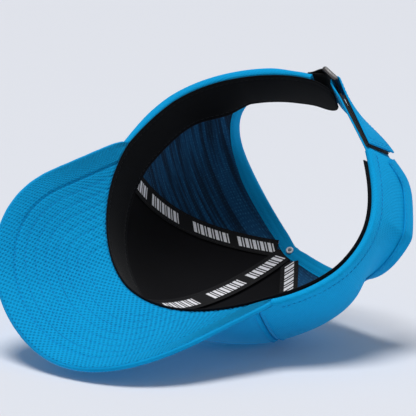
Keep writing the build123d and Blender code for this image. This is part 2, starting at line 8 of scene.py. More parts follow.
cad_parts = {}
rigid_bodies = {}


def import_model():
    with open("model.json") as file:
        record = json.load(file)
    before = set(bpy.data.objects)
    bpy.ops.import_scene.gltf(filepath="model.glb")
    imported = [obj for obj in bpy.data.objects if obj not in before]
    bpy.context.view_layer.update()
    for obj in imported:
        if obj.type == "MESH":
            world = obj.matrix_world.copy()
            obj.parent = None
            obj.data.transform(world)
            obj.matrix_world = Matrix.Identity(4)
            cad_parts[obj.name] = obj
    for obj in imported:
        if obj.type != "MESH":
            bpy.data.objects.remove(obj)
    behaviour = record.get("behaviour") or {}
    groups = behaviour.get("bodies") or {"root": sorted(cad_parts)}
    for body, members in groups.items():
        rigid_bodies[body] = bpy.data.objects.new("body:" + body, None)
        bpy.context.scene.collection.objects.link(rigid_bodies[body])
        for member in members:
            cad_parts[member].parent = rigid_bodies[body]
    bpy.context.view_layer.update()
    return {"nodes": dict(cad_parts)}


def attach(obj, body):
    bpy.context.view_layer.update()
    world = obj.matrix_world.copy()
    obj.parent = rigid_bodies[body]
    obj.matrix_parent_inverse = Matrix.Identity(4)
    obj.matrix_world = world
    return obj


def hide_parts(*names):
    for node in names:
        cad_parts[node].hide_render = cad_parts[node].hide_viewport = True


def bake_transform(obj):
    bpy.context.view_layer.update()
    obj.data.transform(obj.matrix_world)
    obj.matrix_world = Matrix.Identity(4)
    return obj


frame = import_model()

# Golf sun visor. Lengths below are millimetres until a mesh is made, then metres.

# ------------------------------------------------------------------ camera first
VIEW = Vector((0.558, 0.159, 0.814)).normalized()
CAM_UP = Vector((0.609, 0.588, -0.532)).normalized()
RIGHT = VIEW.cross(CAM_UP).normalized()
CAM_UP = RIGHT.cross(VIEW).normalized()
cam_data = bpy.data.cameras.new("camera")
cam_data.sensor_width = 36.0
cam_data.lens = 36.0 * 1982.0 / 416.0
cam_data.clip_start, cam_data.clip_end = 0.05, 30.0
camera = bpy.data.objects.new("camera", cam_data)
bpy.context.scene.collection.objects.link(camera)
camera.matrix_world = Matrix((
    (RIGHT.x, CAM_UP.x, -VIEW.x, -0.6827),
    (RIGHT.y, CAM_UP.y, -VIEW.y, -0.2248),
    (RIGHT.z, CAM_UP.z, -VIEW.z, -0.9953),
    (0, 0, 0, 1),
))
bpy.context.scene.camera = camera
bpy.context.scene.view_settings.view_transform = "Standard"

# ------------------------------------------------------------------ the crown's numbers, as in the solids
HALF_WIDTH, FRONT_DEPTH, REAR_DEPTH = 88.6, 100.7, 82.7
FRONT_POWER, REAR_POWER = 1.84, 1.81
CORNER_ANGLE, SEAM_ANGLE = 65.0, 59.5
APEX = (0.0, 9.6, 97.8)
CENTRE_FULLNESS, SIDE_FULLNESS = 0.581, 0.730
BAND_HEIGHT, REAR_START = 34.0, 125.0
BILL_HALF, BILL_TIP, BILL_WIDEST, BILL_POWER = 81.1, -168.6, -89.0, 2.12
BILL_Z0, BILL_SLOPE, BILL_DROP = 12.8, 0.345, 33.5
LEFT_BULGE = 1.5
BAND_END = 154.6
TAB_BAR, STRAP_BAR, BAR_R = (31.2, 86.0), (21.0, 86.2), 1.3
BUCKLE_T, BUCKLE_LOW, BUCKLE_HIGH = 3.6, -1.5, 27.5
STRAP_W, STRAP_T, STRAP_END = 24.0, 1.2, (-35.5, 69.0)
STRAP_LEAN0, STRAP_LEAN1, FOLD_R, TAB_W = 2.0, 34.0, 2.2, 22.0


def power(v, e):
    return math.copysign(abs(v) ** e, v)


def smooth(v):
    v = min(1.0, max(0.0, v))
    return v * v * (3 - 2 * v)


def sm(v):
    v = np.clip(v, 0.0, 1.0)
    return v * v * (3 - 2 * v)


def table(v, pairs):
    return float(np.interp(v, [p[0] for p in pairs], [p[1] for p in pairs]))


def edge_xy(t):
    s, c = math.sin(math.radians(t)), math.cos(math.radians(t))
    n, a = (FRONT_POWER, FRONT_DEPTH) if c >= 0 else (REAR_POWER, REAR_DEPTH)
    x, y = HALF_WIDTH * power(s, 2 / n), -a * power(c, 2 / n)
    if t < 0:
        y -= 7.0 * smooth((-t - 108) / 44)
    else:
        y += 2.6 * smooth((t - 120) / 40)
    return x, y


def bill_z(x, y):
    return BILL_Z0 + BILL_SLOPE * (y + FRONT_DEPTH) - BILL_DROP * (x / BILL_HALF) ** 2


def edge_z(t):
    a = abs(t)
    x, y = edge_xy(t)
    if a <= CORNER_ANGLE:
        return bill_z(x, y)
    xc, yc = edge_xy(CORNER_ANGLE)
    side = 6.06 * math.sin(math.radians(a)) ** 2
    corner = bill_z(xc, yc) - 6.06 * math.sin(math.radians(CORNER_ANGLE)) ** 2
    return side + corner * math.exp(-(a - CORNER_ANGLE) / 12)


def inward(t):
    x0, y0 = edge_xy(t - 0.2)
    x1, y1 = edge_xy(t + 0.2)
    l = math.hypot(x1 - x0, y1 - y0)
    return -(y1 - y0) / l, (x1 - x0) / l


def lean_at(t):
    if t >= 0:
        return table(t, [(60, 4), (75, 0), (90, -4.7), (135, -5.2), (150, -3), (160, 0)])
    return table(-t, [(60, 4), (75, 0), (90, -5), (100, -13), (110, -24), (118, -30), (130, -28), (140, -29), (152, -33)])


def lean(t):
    return sum(lean_at(t + step) for step in (-6, -3, 0, 3, 6)) / 5


def wall_height(t):
    if t >= 0:
        return table(t, [(143, BAND_HEIGHT), (148, 32), (152, 28), (155, 24.5)])
    return table(-t, [(140, 35.5), (143, 35.2), (146, 34.0), (149, 31.5), (152, 27.5), (155, 22.5)]) if t > -1000 else 0.0


def vec(*p):
    return np.array(p, float)


def unit(p):
    return p / np.linalg.norm(p)


def wall_way(t):
    nx, ny = inward(t)
    s, c = math.sin(math.radians(lean(t))), math.cos(math.radians(lean(t)))
    return vec(nx * s, ny * s, c)


def bezier(p, u):
    m = 1 - u
    return m**3 * p[0] + 3 * m * m * u * p[1] + 3 * m * u * u * p[2] + u**3 * p[3]


def opening_curve(side):
    t = side * REAR_START
    (x, y), w = edge_xy(t), wall_height(t)
    end = vec(x, y, edge_z(t)) + w * wall_way(t)
    if side > 0:
        return vec(*APEX), vec(40.1, 22.7, 94.7), vec(85.1, 19.9, 56.5), end
    return vec(*APEX), vec(-40.1, 22.7, 94.7), vec(-88.5, 19.9, 58.0), end


def section(t):
    x, y = edge_xy(t)
    base = vec(x, y, edge_z(t))
    a = abs(t)
    ax, ay, az = APEX
    l = math.hypot(ax - x, ay - y)
    to_apex = vec((ax - x) / l, (ay - y) / l, 0.0)
    if a <= SEAM_ANGLE:
        k = CENTRE_FULLNESS + (SIDE_FULLNESS - CENTRE_FULLNESS) * smooth(a / SEAM_ANGLE)
        rise = az - base[2]
        return base, to_apex, vec(0, 0, 1), ((0, 0), (0, k * rise), (l - k * l, rise), (l, rise))
    n_in = vec(*inward(t), 0.0)
    way = wall_way(t)
    v = (a - SEAM_ANGLE) / (REAR_START - SEAM_ANGLE)
    if v >= 1:
        w = wall_height(t)
        return base, unit(n_in - way * n_in.dot(way)), way, ((0, 0), (0, w / 3), (0, w * 2 / 3), (0, w))
    chord = bezier(opening_curve(1 if t >= 0 else -1), v) - base
    length = np.linalg.norm(chord)
    up = unit(chord)
    n = unit(to_apex + (n_in - to_apex) * v)
    across = unit(n - up * n.dot(up))
    rise = way if v > 0.3 else unit(vec(0, 0, 1) + (way - vec(0, 0, 1)) * v / 0.3)
    last = unit(to_apex + (way - to_apex) * smooth(v))
    k = (0.519 + (0.333 - 0.519) * v) * length
    d0 = unit(vec(rise.dot(across), rise.dot(up)))
    d1 = unit(vec(last.dot(across), last.dot(up)))
    return base, across, up, ((0, 0), (k * d0[0], k * d0[1]), (-k * d1[0], length - k * d1[1]), (0, length))


CACHE = {}


def sec(t):
    key = round(t, 3)
    if key not in CACHE:
        base, across, up, c = section(t)
        u = np.linspace(0, 1, 181)[:, None]
        c = np.array(c, float)
        p = (1 - u) ** 3 * c[0] + 3 * (1 - u) ** 2 * u * c[1] + 3 * (1 - u) * u * u * c[2] + u**3 * c[3]
        run = np.concatenate([[0], np.cumsum(np.hypot(*(p[1:] - p[:-1]).T))])
        tan = np.gradient(p, axis=0)
        tan /= np.linalg.norm(tan, axis=1)[:, None]
        CACHE[key] = (base, across, up, p, run, tan)
    return CACHE[key]


def full(t):
    return sec(t)[4][-1]


def place(t, w):
    """Point on the crown's inner face at angle t, w up from the opening, with its outward normal and upward tangent."""
    base, across, up, p, run, tan = sec(t)
    w = np.atleast_1d(np.asarray(w, float))
    wi = np.clip(w, 0, run[-1])
    x, z = np.interp(wi, run, p[:, 0]), np.interp(wi, run, p[:, 1])
    tx, tz = np.interp(wi, run, tan[:, 0]), np.interp(wi, run, tan[:, 1])
    over = w - wi
    pts = base + (x + over * tx)[:, None] * across + (z + over * tz)[:, None] * up
    out = (-tz)[:, None] * across + tx[:, None] * up
    way = tx[:, None] * across + tz[:, None] * up
    return pts, out, way


def lift(t):
    return LEFT_BULGE * smooth((t - 62) / 20) * (1 - smooth((t - 136) / 12)) if t > 62 else 0.0


def waves(p, scale, seed):
    """Soft, smooth unevenness between about -1 and 1 at the points p."""
    q = p / scale
    a = np.sin(q[..., 0] * 1.3 + q[..., 1] * 0.7 + seed) * np.cos(q[..., 2] * 1.1 - q[..., 0] * 0.4 + seed * 2.1)
    b = np.sin(q[..., 1] * 1.9 - q[..., 2] * 1.2 + seed * 1.7) * np.cos(q[..., 0] * 2.3 + q[..., 2] * 0.9 + seed)
    c = np.sin(q[..., 0] * 3.7 + q[..., 1] * 3.1 - q[..., 2] * 2.7 + seed * 3.3)
    return 0.5 * a + 0.35 * b + 0.15 * c


# ------------------------------------------------------------------ mesh making
SCENE = bpy.context.scene.collection


def finish_mesh(name, verts, faces, uvs, mats, body, angle=55.0, mat_index=None):
    me = bpy.data.meshes.new(name)
    me.from_pydata((np.asarray(verts) * 0.001).tolist(), [], faces)
    if uvs is not None:
        layer = me.uv_layers.new(name="UVMap")
        layer.data.foreach_set("uv", np.asarray(uvs, np.float32).ravel() * 0.001)
    for m in mats:
        me.materials.append(m)
    if mat_index is not None:
        me.polygons.foreach_set("material_index", np.asarray(mat_index, np.int32))
    bm = bmesh.new()
    bm.from_mesh(me)
    bmesh.ops.recalc_face_normals(bm, faces=bm.faces)
    bm.to_mesh(me)
    bm.free()
    me.polygons.foreach_set("use_smooth", np.ones(len(me.polygons), bool))
    me.set_sharp_from_angle(angle=math.radians(angle))
    me.update()
    ob = bpy.data.objects.new(name, me)
    SCENE.objects.link(ob)
    if body:
        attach(ob, body)
    return ob


def tube(name, loops, mats, body="root", closed=True, caps=True, angle=55.0, pick=None):
    """A skin over closed loops of points (rows, points, xyz), with flat ends."""
    loops = np.asarray(loops, float)
    n, m, _ = loops.shape
    idx = np.arange(n * m).reshape(n, m)
    nxt = np.roll(idx, -1, axis=1) if closed else idx[:, 1:]
    cur = idx if closed else idx[:, :-1]
    quads = np.stack([cur[:-1], cur[1:], nxt[1:], nxt[:-1]], -1).reshape(-1, 4)
    ext = np.concatenate([loops, loops[:, :1]], 1) if closed else loops
    du = np.linalg.norm(ext[1:] - ext[:-1], axis=2)
    U = np.concatenate([np.zeros((1, ext.shape[1])), np.cumsum(du, 0)])
    U -= U[n // 2]
    dv = np.linalg.norm(ext[:, 1:] - ext[:, :-1], axis=2)
    V = np.concatenate([np.zeros((n, 1)), np.cumsum(dv, 1)], 1)
    uv = np.stack([U, V], -1)
    corner = np.stack([uv[:-1, :-1], uv[1:, :-1], uv[1:, 1:], uv[:-1, 1:]], 2).reshape(-1, 2)
    faces = quads.tolist()
    mat_index = [0] * len(faces)
    if pick is not None:
        cols = cur.shape[1]
        mat_index = [pick(k // cols, k % cols) for k in range(len(faces))]
    if caps and closed:
        for row in (idx[0], idx[-1]):
            faces.append(row.tolist())
            c = loops[0 if row is idx[0] else -1]
            flat = c[:, :2] - c[:, :2].mean(0)
            corner = np.concatenate([corner, flat])
            mat_index.append(0)
    return finish_mesh(name, loops.reshape(-1, 3), faces, corner, mats, body, angle, mat_index)


def ribbon_loop(lo, hi, n, thick_lo, thick_hi, k=4):
    """(along, across) outline of a strip from lo to hi, thick_lo..thick_hi, with rounded ends."""
    mid, half = (thick_lo + thick_hi) / 2, (thick_hi - thick_lo) / 2
    along = np.linspace(lo + half, hi - half, n)
    th = np.linspace(0, math.pi, k + 2)[1:-1]
    a = np.concatenate([along, hi - half + half * np.sin(th), along[::-1], lo + half - half * np.sin(th)])
    b = np.concatenate([np.full(n, thick_lo), mid - half * np.cos(th), np.full(n, thick_hi), mid + half * np.cos(th)])
    return a, b


def resample(p, step=None, count=None):
    p = np.asarray(p, float)
    s = np.concatenate([[0], np.cumsum(np.linalg.norm(p[1:] - p[:-1], axis=1))])
    count = count or max(2, int(round(s[-1] / step)) + 1)
    q = np.linspace(0, s[-1], count)
    return np.stack([np.interp(q, s, p[:, k]) for k in range(p.shape[1])], 1)


def blur(p, times):
    p = np.asarray(p, float).copy()
    for _ in range(times):
        p[1:-1] = 0.25 * p[:-2] + 0.5 * p[1:-1] + 0.25 * p[2:]
    return p


class Stitches:
    """Rows of separate thread stitches collected into one mesh."""

    def __init__(self):
        self.verts, self.faces, self.count = [], [], 0

    def row(self, path, normals, length=2.5, gap=0.8, r=0.24, raise_by=0.05, start=0.0):
        path, normals = np.asarray(path, float), np.asarray(normals, float)
        s = np.concatenate([[0], np.cumsum(np.linalg.norm(path[1:] - path[:-1], axis=1))])
        n = int((s[-1] - start - gap) // (length + gap))
        if n < 1:
            return
        begin = start + gap / 2 + np.arange(n) * (length + gap)
        at = begin[:, None] + np.array([0.0, 0.13, 0.5, 0.87, 1.0])[None] * length
        grow = np.array([0.45, 0.95, 1.0, 0.95, 0.45])
        rise = np.array([-1.0, 0.25, 0.6, 0.25, -1.0])
        c = np.stack([np.interp(at, s, path[:, k]) for k in range(3)], -1)
        nn = np.stack([np.interp(at, s, normals[:, k]) for k in range(3)], -1)
        nn /= np.linalg.norm(nn, axis=-1, keepdims=True)
        tt = c[:, -1] - c[:, 0]
        tt /= np.linalg.norm(tt, axis=-1, keepdims=True)
        side = np.cross(np.repeat(tt[:, None], 5, 1), nn)
        side /= np.linalg.norm(side, axis=-1, keepdims=True)
        c = c + nn * (raise_by + rise * r)[None, :, None]
        th = np.arange(6) * math.pi / 3
        ring = (side[:, :, None] * np.cos(th)[None, None, :, None] + nn[:, :, None] * np.sin(th)[None, None, :, None] * 0.8)
        v = c[:, :, None] + ring * (r * grow)[None, :, None, None]
        v = v.reshape(-1, 3)
        base = self.count + np.arange(n)[:, None, None, None] * 30
        i, j = np.arange(4), np.arange(6)
        a = i[:, None] * 6 + j[None]
        b = i[:, None] * 6 + (j[None] + 1) % 6
        quad = np.stack([a, b, b + 6, a + 6], -1)[None]
        self.faces += (base + quad).reshape(-1, 4).tolist()
        for k in range(n):
            o = self.count + k * 30
            self.faces.append([o + 5, o + 4, o + 3, o + 2, o + 1, o])
            self.faces.append([o + 24 + q for q in range(6)])
        self.verts.append(v)
        self.count += len(v)

    def make(self, name, mat, body="root"):
        ob = finish_mesh(name, np.concatenate(self.verts), self.faces, None, [mat], body, 80)
        return ob


# ------------------------------------------------------------------ materials
def srgb(r, g, b):
    f = lambda v: v / 12.92 if v <= 0.04045 else ((v + 0.055) / 1.055) ** 2.4
    return f(r / 255), f(g / 255), f(b / 255), 1.0


class Mat:
    def __init__(self, name, rough=0.8, spec=0.3, sheen=0.0, sheen_rough=0.5, sheen_tint=None, metal=0.0):
        self.m = bpy.data.materials.new(name)
        self.m.use_nodes = True
        self.t = self.m.node_tree
        self.b = self.t.nodes["Principled BSDF"]
        self.b.inputs["Roughness"].default_value = rough
        self.b.inputs["Specular IOR Level"].default_value = spec
        self.b.inputs["Metallic"].default_value = metal
        self.b.inputs["Sheen Weight"].default_value = sheen
        self.b.inputs["Sheen Roughness"].default_value = sheen_rough
        if sheen_tint:
            self.b.inputs["Sheen Tint"].default_value = sheen_tint

    def node(self, kind, **kw):
        n = self.t.nodes.new(kind)
        for k, v in kw.items():
            if isinstance(k, str) and k.startswith("i_"):
                n.inputs[k[2:].replace("_", " ")].default_value = v
            else:
                setattr(n, k, v)
        return n

    def link(self, a, b):
        self.t.links.new(a, b)

    def coords(self, kind="UV", scale=(1, 1, 1), rot=(0, 0, 0)):
        tc = self.node("ShaderNodeTexCoord")
        mp = self.node("ShaderNodeMapping")
        mp.inputs["Scale"].default_value = scale
        mp.inputs["Rotation"].default_value = rot
        self.link(tc.outputs[kind], mp.inputs["Vector"])
        return mp.outputs["Vector"]

    def math(self, op, a, b=None, clamp=False):
        n = self.node("ShaderNodeMath", operation=op)
        n.use_clamp = clamp
        for k, v in enumerate((a, b)):
            if v is None:
                continue
            if isinstance(v, (int, float)):
                n.inputs[k].default_value = v
            else:
                self.link(v, n.inputs[k])
        return n.outputs[0]

    def mix(self, fac, a, b):
        n = self.node("ShaderNodeMix", data_type="RGBA")
        for sock, v in ((n.inputs[0], fac), (n.inputs[6], a), (n.inputs[7], b)):
            if isinstance(v, (int, float)):
                sock.default_value = v
            elif isinstance(v, tuple):
                sock.default_value = v
            else:
                self.link(v, sock)
        return n.outputs[2]

    def ramp(self, fac, lo, hi, a=0.0, b=1.0):
        n = self.node("ShaderNodeMapRange", interpolation_type="SMOOTHSTEP")
        n.inputs["From Min"].default_value = lo
        n.inputs["From Max"].default_value = hi
        n.inputs["To Min"].default_value = a
        n.inputs["To Max"].default_value = b
        self.link(fac, n.inputs["Value"])
        return n.outputs["Result"]

    def noise(self, vector, scale, detail=3.0, rough=0.5):
        n = self.node("ShaderNodeTexNoise")
        n.inputs["Scale"].default_value = scale
        n.inputs["Detail"].default_value = detail
        n.inputs["Roughness"].default_value = rough
        self.link(vector, n.inputs["Vector"])
        return n.outputs["Fac"]

    def cells(self, vector, scale, randomness=0.0, feature="F1"):
        n = self.node("ShaderNodeTexVoronoi", feature=feature)
        n.inputs["Scale"].default_value = scale
        n.inputs["Randomness"].default_value = randomness
        self.link(vector, n.inputs["Vector"])
        return n.outputs["Distance"]

    def wave(self, vector, scale, direction="X", distortion=0.0, profile="SIN"):
        n = self.node("ShaderNodeTexWave", wave_type="BANDS", bands_direction=direction, wave_profile=profile)
        n.inputs["Scale"].default_value = scale
        n.inputs["Distortion"].default_value = distortion
        n.inputs["Detail"].default_value = 1.0
        self.link(vector, n.inputs["Vector"])
        return n.outputs["Fac"]

    def bump(self, height, strength, distance, before=None):
        n = self.node("ShaderNodeBump")
        n.inputs["Strength"].default_value = strength
        n.inputs["Distance"].default_value = distance
        self.link(height, n.inputs["Height"])
        if before is not None:
            self.link(before, n.inputs["Normal"])
        return n.outputs["Normal"]

    def done(self, color, normal=None):
        if isinstance(color, tuple):
            self.b.inputs["Base Color"].default_value = color
        else:
            self.link(color, self.b.inputs["Base Color"])
        if normal is not None:
            self.link(normal, self.b.inputs["Normal"])
        return self.m


BLUE = (0.0008, 0.365, 0.755, 1.0)
BLUE_DEEP = (0.0004, 0.190, 0.440, 1.0)
BLUE_PALE = (0.002, 0.43, 0.84, 1.0)


def pique(name, pitch=1.75, depth=0.5, base=BLUE, deep=BLUE_DEEP, pale=BLUE_PALE, dimple_shade_painted=0.55):
    """Dimpled sports knit, with fine yarn between the dimples; the dimple hollows are painted darker as shade."""
    m = Mat(name, rough=0.85, spec=0.12, sheen=0.10, sheen_rough=0.4, sheen_tint=(0.05, 0.6, 1.0, 1.0))
    v = m.coords("UV", rot=(0, 0, math.radians(45)))
    dots = m.cells(v, 1000.0 / pitch, 0.06)
    hole = m.ramp(dots, 0.12, 0.42, 1.0, 0.0)
    yarn = m.wave(m.coords("UV"), 1000.0 / 0.55 / 3.1, "X", 0.6)
    fuzz = m.noise(m.coords("Object"), 900.0, 4.0, 0.6)
    broad = m.noise(m.coords("Object"), 26.0, 2.0, 0.5)
    # painted shade: the dimple hollows, which are also the low places of the bump, are mixed towards BLUE_DEEP
    c = m.mix(m.math("MULTIPLY", hole, dimple_shade_painted), base, deep)
    c = m.mix(m.ramp(broad, 0.35, 0.75, 0.0, 0.30), c, pale)
    c = m.mix(m.ramp(fuzz, 0.35, 0.7, 0.0, 0.16), c, deep)
    h = m.math("ADD", m.math("MULTIPLY", hole, -1.0), m.math("MULTIPLY", yarn, 0.22))
    n = m.bump(h, depth, 0.00045)
    n = m.bump(fuzz, 0.22, 0.0002, n)
    return m.done(c, n)


def twill(name, base, deep, pitch=0.7, depth=0.35, rough=0.85, sheen=0.15, tint=None, speck=0.3):
    """Fine diagonal weave."""
    m = Mat(name, rough=rough, spec=0.12, sheen=sheen, sheen_rough=0.4, sheen_tint=tint)
    v = m.coords("UV", rot=(0, 0, math.radians(38)))
    w = m.wave(v, 1000.0 / pitch / 6.283 * 2, "X", 0.4)
    x = m.wave(m.coords("UV"), 1000.0 / (pitch * 0.8) / 6.283 * 2, "Y", 0.3)
    fuzz = m.noise(m.coords("Object"), 1100.0, 4.0, 0.6)
    broad = m.noise(m.coords("Object"), 30.0, 2.0)
    c = m.mix(m.math("MULTIPLY", w, speck), base, deep)
    c = m.mix(m.ramp(broad, 0.3, 0.7, 0.0, 0.25), c, deep)
    h = m.math("ADD", w, m.math("MULTIPLY", x, 0.5))
    n = m.bump(h, depth, 0.00025)
    n = m.bump(fuzz, 0.2, 0.00015, n)
    return m.done(c, n)


shell_mat = pique("shell_pique", 1.6, 0.4, dimple_shade_painted=0.36)
bill_mat = pique("bill_pique", 2.35, 1.0, dimple_shade_painted=0.8)
smooth_blue = twill("binding_twill", BLUE, BLUE_DEEP, 0.8, 0.3, 0.85, 0.10, (0.05, 0.6, 1, 1))
strap_blue = twill("strap_twill", BLUE, BLUE_DEEP, 0.9, 0.35, 0.85, 0.10, (0.05, 0.6, 1, 1))
lining_mat = twill("lining_twill", srgb(19, 19, 22), srgb(10, 10, 12), 0.6, 0.25, 0.95, 0.04)
sweat_mat = twill("sweatband_jersey", srgb(13, 15, 19), srgb(5, 6, 9), 0.9, 0.45, 0.95, 0.05)
web_mat = twill("webbing_black", srgb(22, 22, 24), srgb(8, 8, 10), 1.4, 0.8, 0.7, 0.1)
foam_mat = twill("foam_black", srgb(30, 30, 32), srgb(16, 16, 18), 1.1, 0.6, 0.95, 0.05)
thread_blue = twill("thread_blue", srgb(8, 150, 212), srgb(3, 104, 165), 0.25, 0.4, 0.7, 0.08)
thread_black = twill("thread_black", srgb(34, 34, 38), srgb(16, 16, 18), 0.25, 0.4, 0.55, 0.1)
thread_pale = twill("thread_pale", srgb(150, 205, 240), srgb(90, 170, 220), 0.25, 0.4, 0.55, 0.1)


def mesh_lining():
    """Dark navy knit with columns of small lighter loops, running up the panel."""
    m = Mat("side_mesh_knit", rough=0.85, spec=0.2, sheen=0.2, sheen_rough=0.4, sheen_tint=(0.4, 0.7, 1.0, 1.0))
    v = m.coords("Object")
    sep = m.node("ShaderNodeSeparateXYZ")
    m.link(v, sep.inputs["Vector"])
    z = sep.outputs["Z"]
    y = m.math("ADD", sep.outputs["Y"], m.math("MULTIPLY", z, 0.29))
    flat = m.node("ShaderNodeCombineXYZ")
    m.link(y, flat.inputs["X"])
    m.link(z, flat.inputs["Y"])
    stretch = m.node("ShaderNodeMapping")
    stretch.inputs["Scale"].default_value = (1.0, 0.05, 1.0)
    m.link(flat.outputs["Vector"], stretch.inputs["Vector"])
    columns = m.noise(stretch.outputs["Vector"], 330.0, 2.0, 0.55)
    narrow = m.node("ShaderNodeMapping")
    narrow.inputs["Scale"].default_value = (1000.0 / 1.5, 1000.0 / 1.15, 1.0)
    m.link(flat.outputs["Vector"], narrow.inputs["Vector"])
    dots = m.cells(narrow.outputs["Vector"], 1.0, 0.25)
    loops = m.ramp(dots, 0.15, 0.45, 1.0, 0.0)
    grain = m.noise(m.coords("Object"), 700.0, 4.0, 0.65)
    streak = m.ramp(columns, 0.40, 0.62, 0.0, 1.0)
    c = m.mix(streak, srgb(11, 38, 62), srgb(16, 72, 114))
    light = m.math("MULTIPLY", m.math("MULTIPLY", loops, m.ramp(grain, 0.42, 0.62, 0.1, 1.0)), m.math("ADD", m.math("MULTIPLY", streak, 0.5), 0.2))
    c = m.mix(light, c, srgb(44, 116, 164))
    n = m.bump(m.math("SUBTRACT", loops, m.math("MULTIPLY", streak, -0.4)), 0.5, 0.00035)
    return m.done(c, n)


mesh_mat = mesh_lining()


def tape_material():
    """Black tape with repeating groups of plain pale slanted bars."""
    m = Mat("seam_tape_print", rough=0.8, spec=0.25, sheen=0.1, sheen_rough=0.4)
    tc = m.node("ShaderNodeTexCoord")
    sep = m.node("ShaderNodeSeparateXYZ")
    m.link(tc.outputs["UV"], sep.inputs["Vector"])
    across, along = sep.outputs["Y"], sep.outputs["X"]
    # across runs 0..0.012 over the face that shows
    a = m.math("ABSOLUTE", m.math("SUBTRACT", across, 0.0060))
    inside = m.ramp(a, 0.00300, 0.00330, 1.0, 0.0)
    centred = m.math("SUBTRACT", across, 0.0060)
    pos = m.math("FRACT", m.math("DIVIDE", m.math("ADD", along, m.math("MULTIPLY", centred, 0.55)), 0.0680))
    slot = m.math("MULTIPLY", pos, 13.0)
    cell = m.math("FRACT", slot)
    number = m.math("FLOOR", slot)
    at = cell
    bar = m.math("MULTIPLY", m.ramp(at, 0.08, 0.12, 0.0, 1.0), m.ramp(at, 0.52, 0.56, 1.0, 0.0))
    thin = m.math("MULTIPLY", m.ramp(at, 0.70, 0.74, 0.0, 1.0), m.ramp(at, 0.88, 0.92, 1.0, 0.0))
    mark = m.math("ADD", bar, thin, True)
    gap_one = m.math("COMPARE", number, 5.0)
    gap_one.node.inputs[2].default_value = 0.4
    gap_two = m.math("GREATER_THAN", number, 10.5)
    keep = m.math("SUBTRACT", m.math("SUBTRACT", 1.0, gap_one), gap_two, True)
    mark = m.math("MULTIPLY", m.math("MULTIPLY", mark, keep), inside, True)
    weave = m.wave(m.coords("UV", rot=(0, 0, math.radians(60))), 1000.0 / 0.8 / 3.14, "X", 0.3)
    fuzz = m.noise(m.coords("Object"), 1300.0, 3.0, 0.6)
    white = m.mix(m.ramp(fuzz, 0.4, 0.75, 0.0, 0.5), srgb(244, 244, 248), srgb(196, 196, 206))
    c = m.mix(mark, srgb(16, 16, 19), white)
    n = m.bump(m.math("ADD", weave, m.math("MULTIPLY", mark, 0.5)), 0.35, 0.0002)
    return m.done(c, n)


tape_mat = tape_material()


def plastic(name, base, rough, grain=0.12):
    m = Mat(name, rough=rough, spec=0.45)
    fine = m.noise(m.coords("Object"), 1500.0, 3.0, 0.5)
    wear = m.noise(m.coords("Object"), 180.0, 3.0, 0.5)
    c = m.mix(m.ramp(wear, 0.4, 0.75, 0.0, 0.35), base, tuple(min(1.0, v * 1.7 + 0.004) for v in base[:3]) + (1.0,))
    r = m.ramp(wear, 0.3, 0.8, rough - 0.06, rough + 0.1)
    m.link(r, m.b.inputs["Roughness"])
    return m.done(c, m.bump(fine, grain, 0.0001))


buckle_mat = plastic("buckle_plastic_black", srgb(24, 24, 27), 0.38)
# painted sheen: the black buckle's faces get a lighter grey base colour that stands in for the sheen of their satin
# surface
buckle_face_sheen_mat = plastic("buckle_face_painted_sheen", srgb(66, 62, 64), 0.36)
washer_mat = plastic("washer_enamel", srgb(222, 224, 230), 0.35)
rivet_mat = plastic("washer_rivet_grey", srgb(120, 124, 134), 0.3)


def hook_material(name, base, deep, pitch):
    m = Mat(name, rough=0.9, spec=0.3, sheen=0.2, sheen_rough=0.5)
    dots = m.cells(m.coords("Object"), 1000.0 / pitch, 0.3)
    fuzz = m.noise(m.coords("Object"), 1600.0, 5.0, 0.7)
    c = m.mix(m.ramp(dots, 0.1, 0.6, 0.0, 1.0), base, deep)
    c = m.mix(m.ramp(fuzz, 0.4, 0.7, 0.0, 0.5), c, deep)
    return m.done(c, m.bump(m.math("ADD", dots, fuzz), 0.9, 0.0004))


hook_mat = hook_material("hook_tape_black", srgb(28, 28, 32), srgb(8, 8, 10), 1.2)
loop_mat = hook_material("loop_tape_black", srgb(24, 24, 28), srgb(7, 7, 9), 0.7)
board_mat = plastic("bill_board_pe", srgb(190, 192, 194), 0.5)

# ------------------------------------------------------------------ crown panels (outer shell)
def grid(ts, lows, highs, n):
    """Inner-face points, normals and upward distances over t stations and n places from low to high."""
    P, N, W = [], [], []
    for t, lo, hi in zip(ts, lows, highs):
        w = lo + (hi - lo) * np.linspace(0, 1, n)
        p, o, _ = place(t, w)
        P.append(p)
        N.append(o)
        W.append(w)
    return np.array(P), np.array(N), np.array(W)


def foot(t):
    """The panels stand on the bill's top as far as its corners."""
    x, y = edge_xy(t)
    slope = math.sqrt(1 + BILL_SLOPE**2 + (2 * BILL_DROP * x / BILL_HALF**2) ** 2)
    return (2.9 * slope - 0.9 * smooth((abs(t) - 12.0) / 45.0)) * (1 - smooth((abs(t) - 62.5) / 2.6))


stitch_shell = Stitches()
stitch_dark = Stitches()


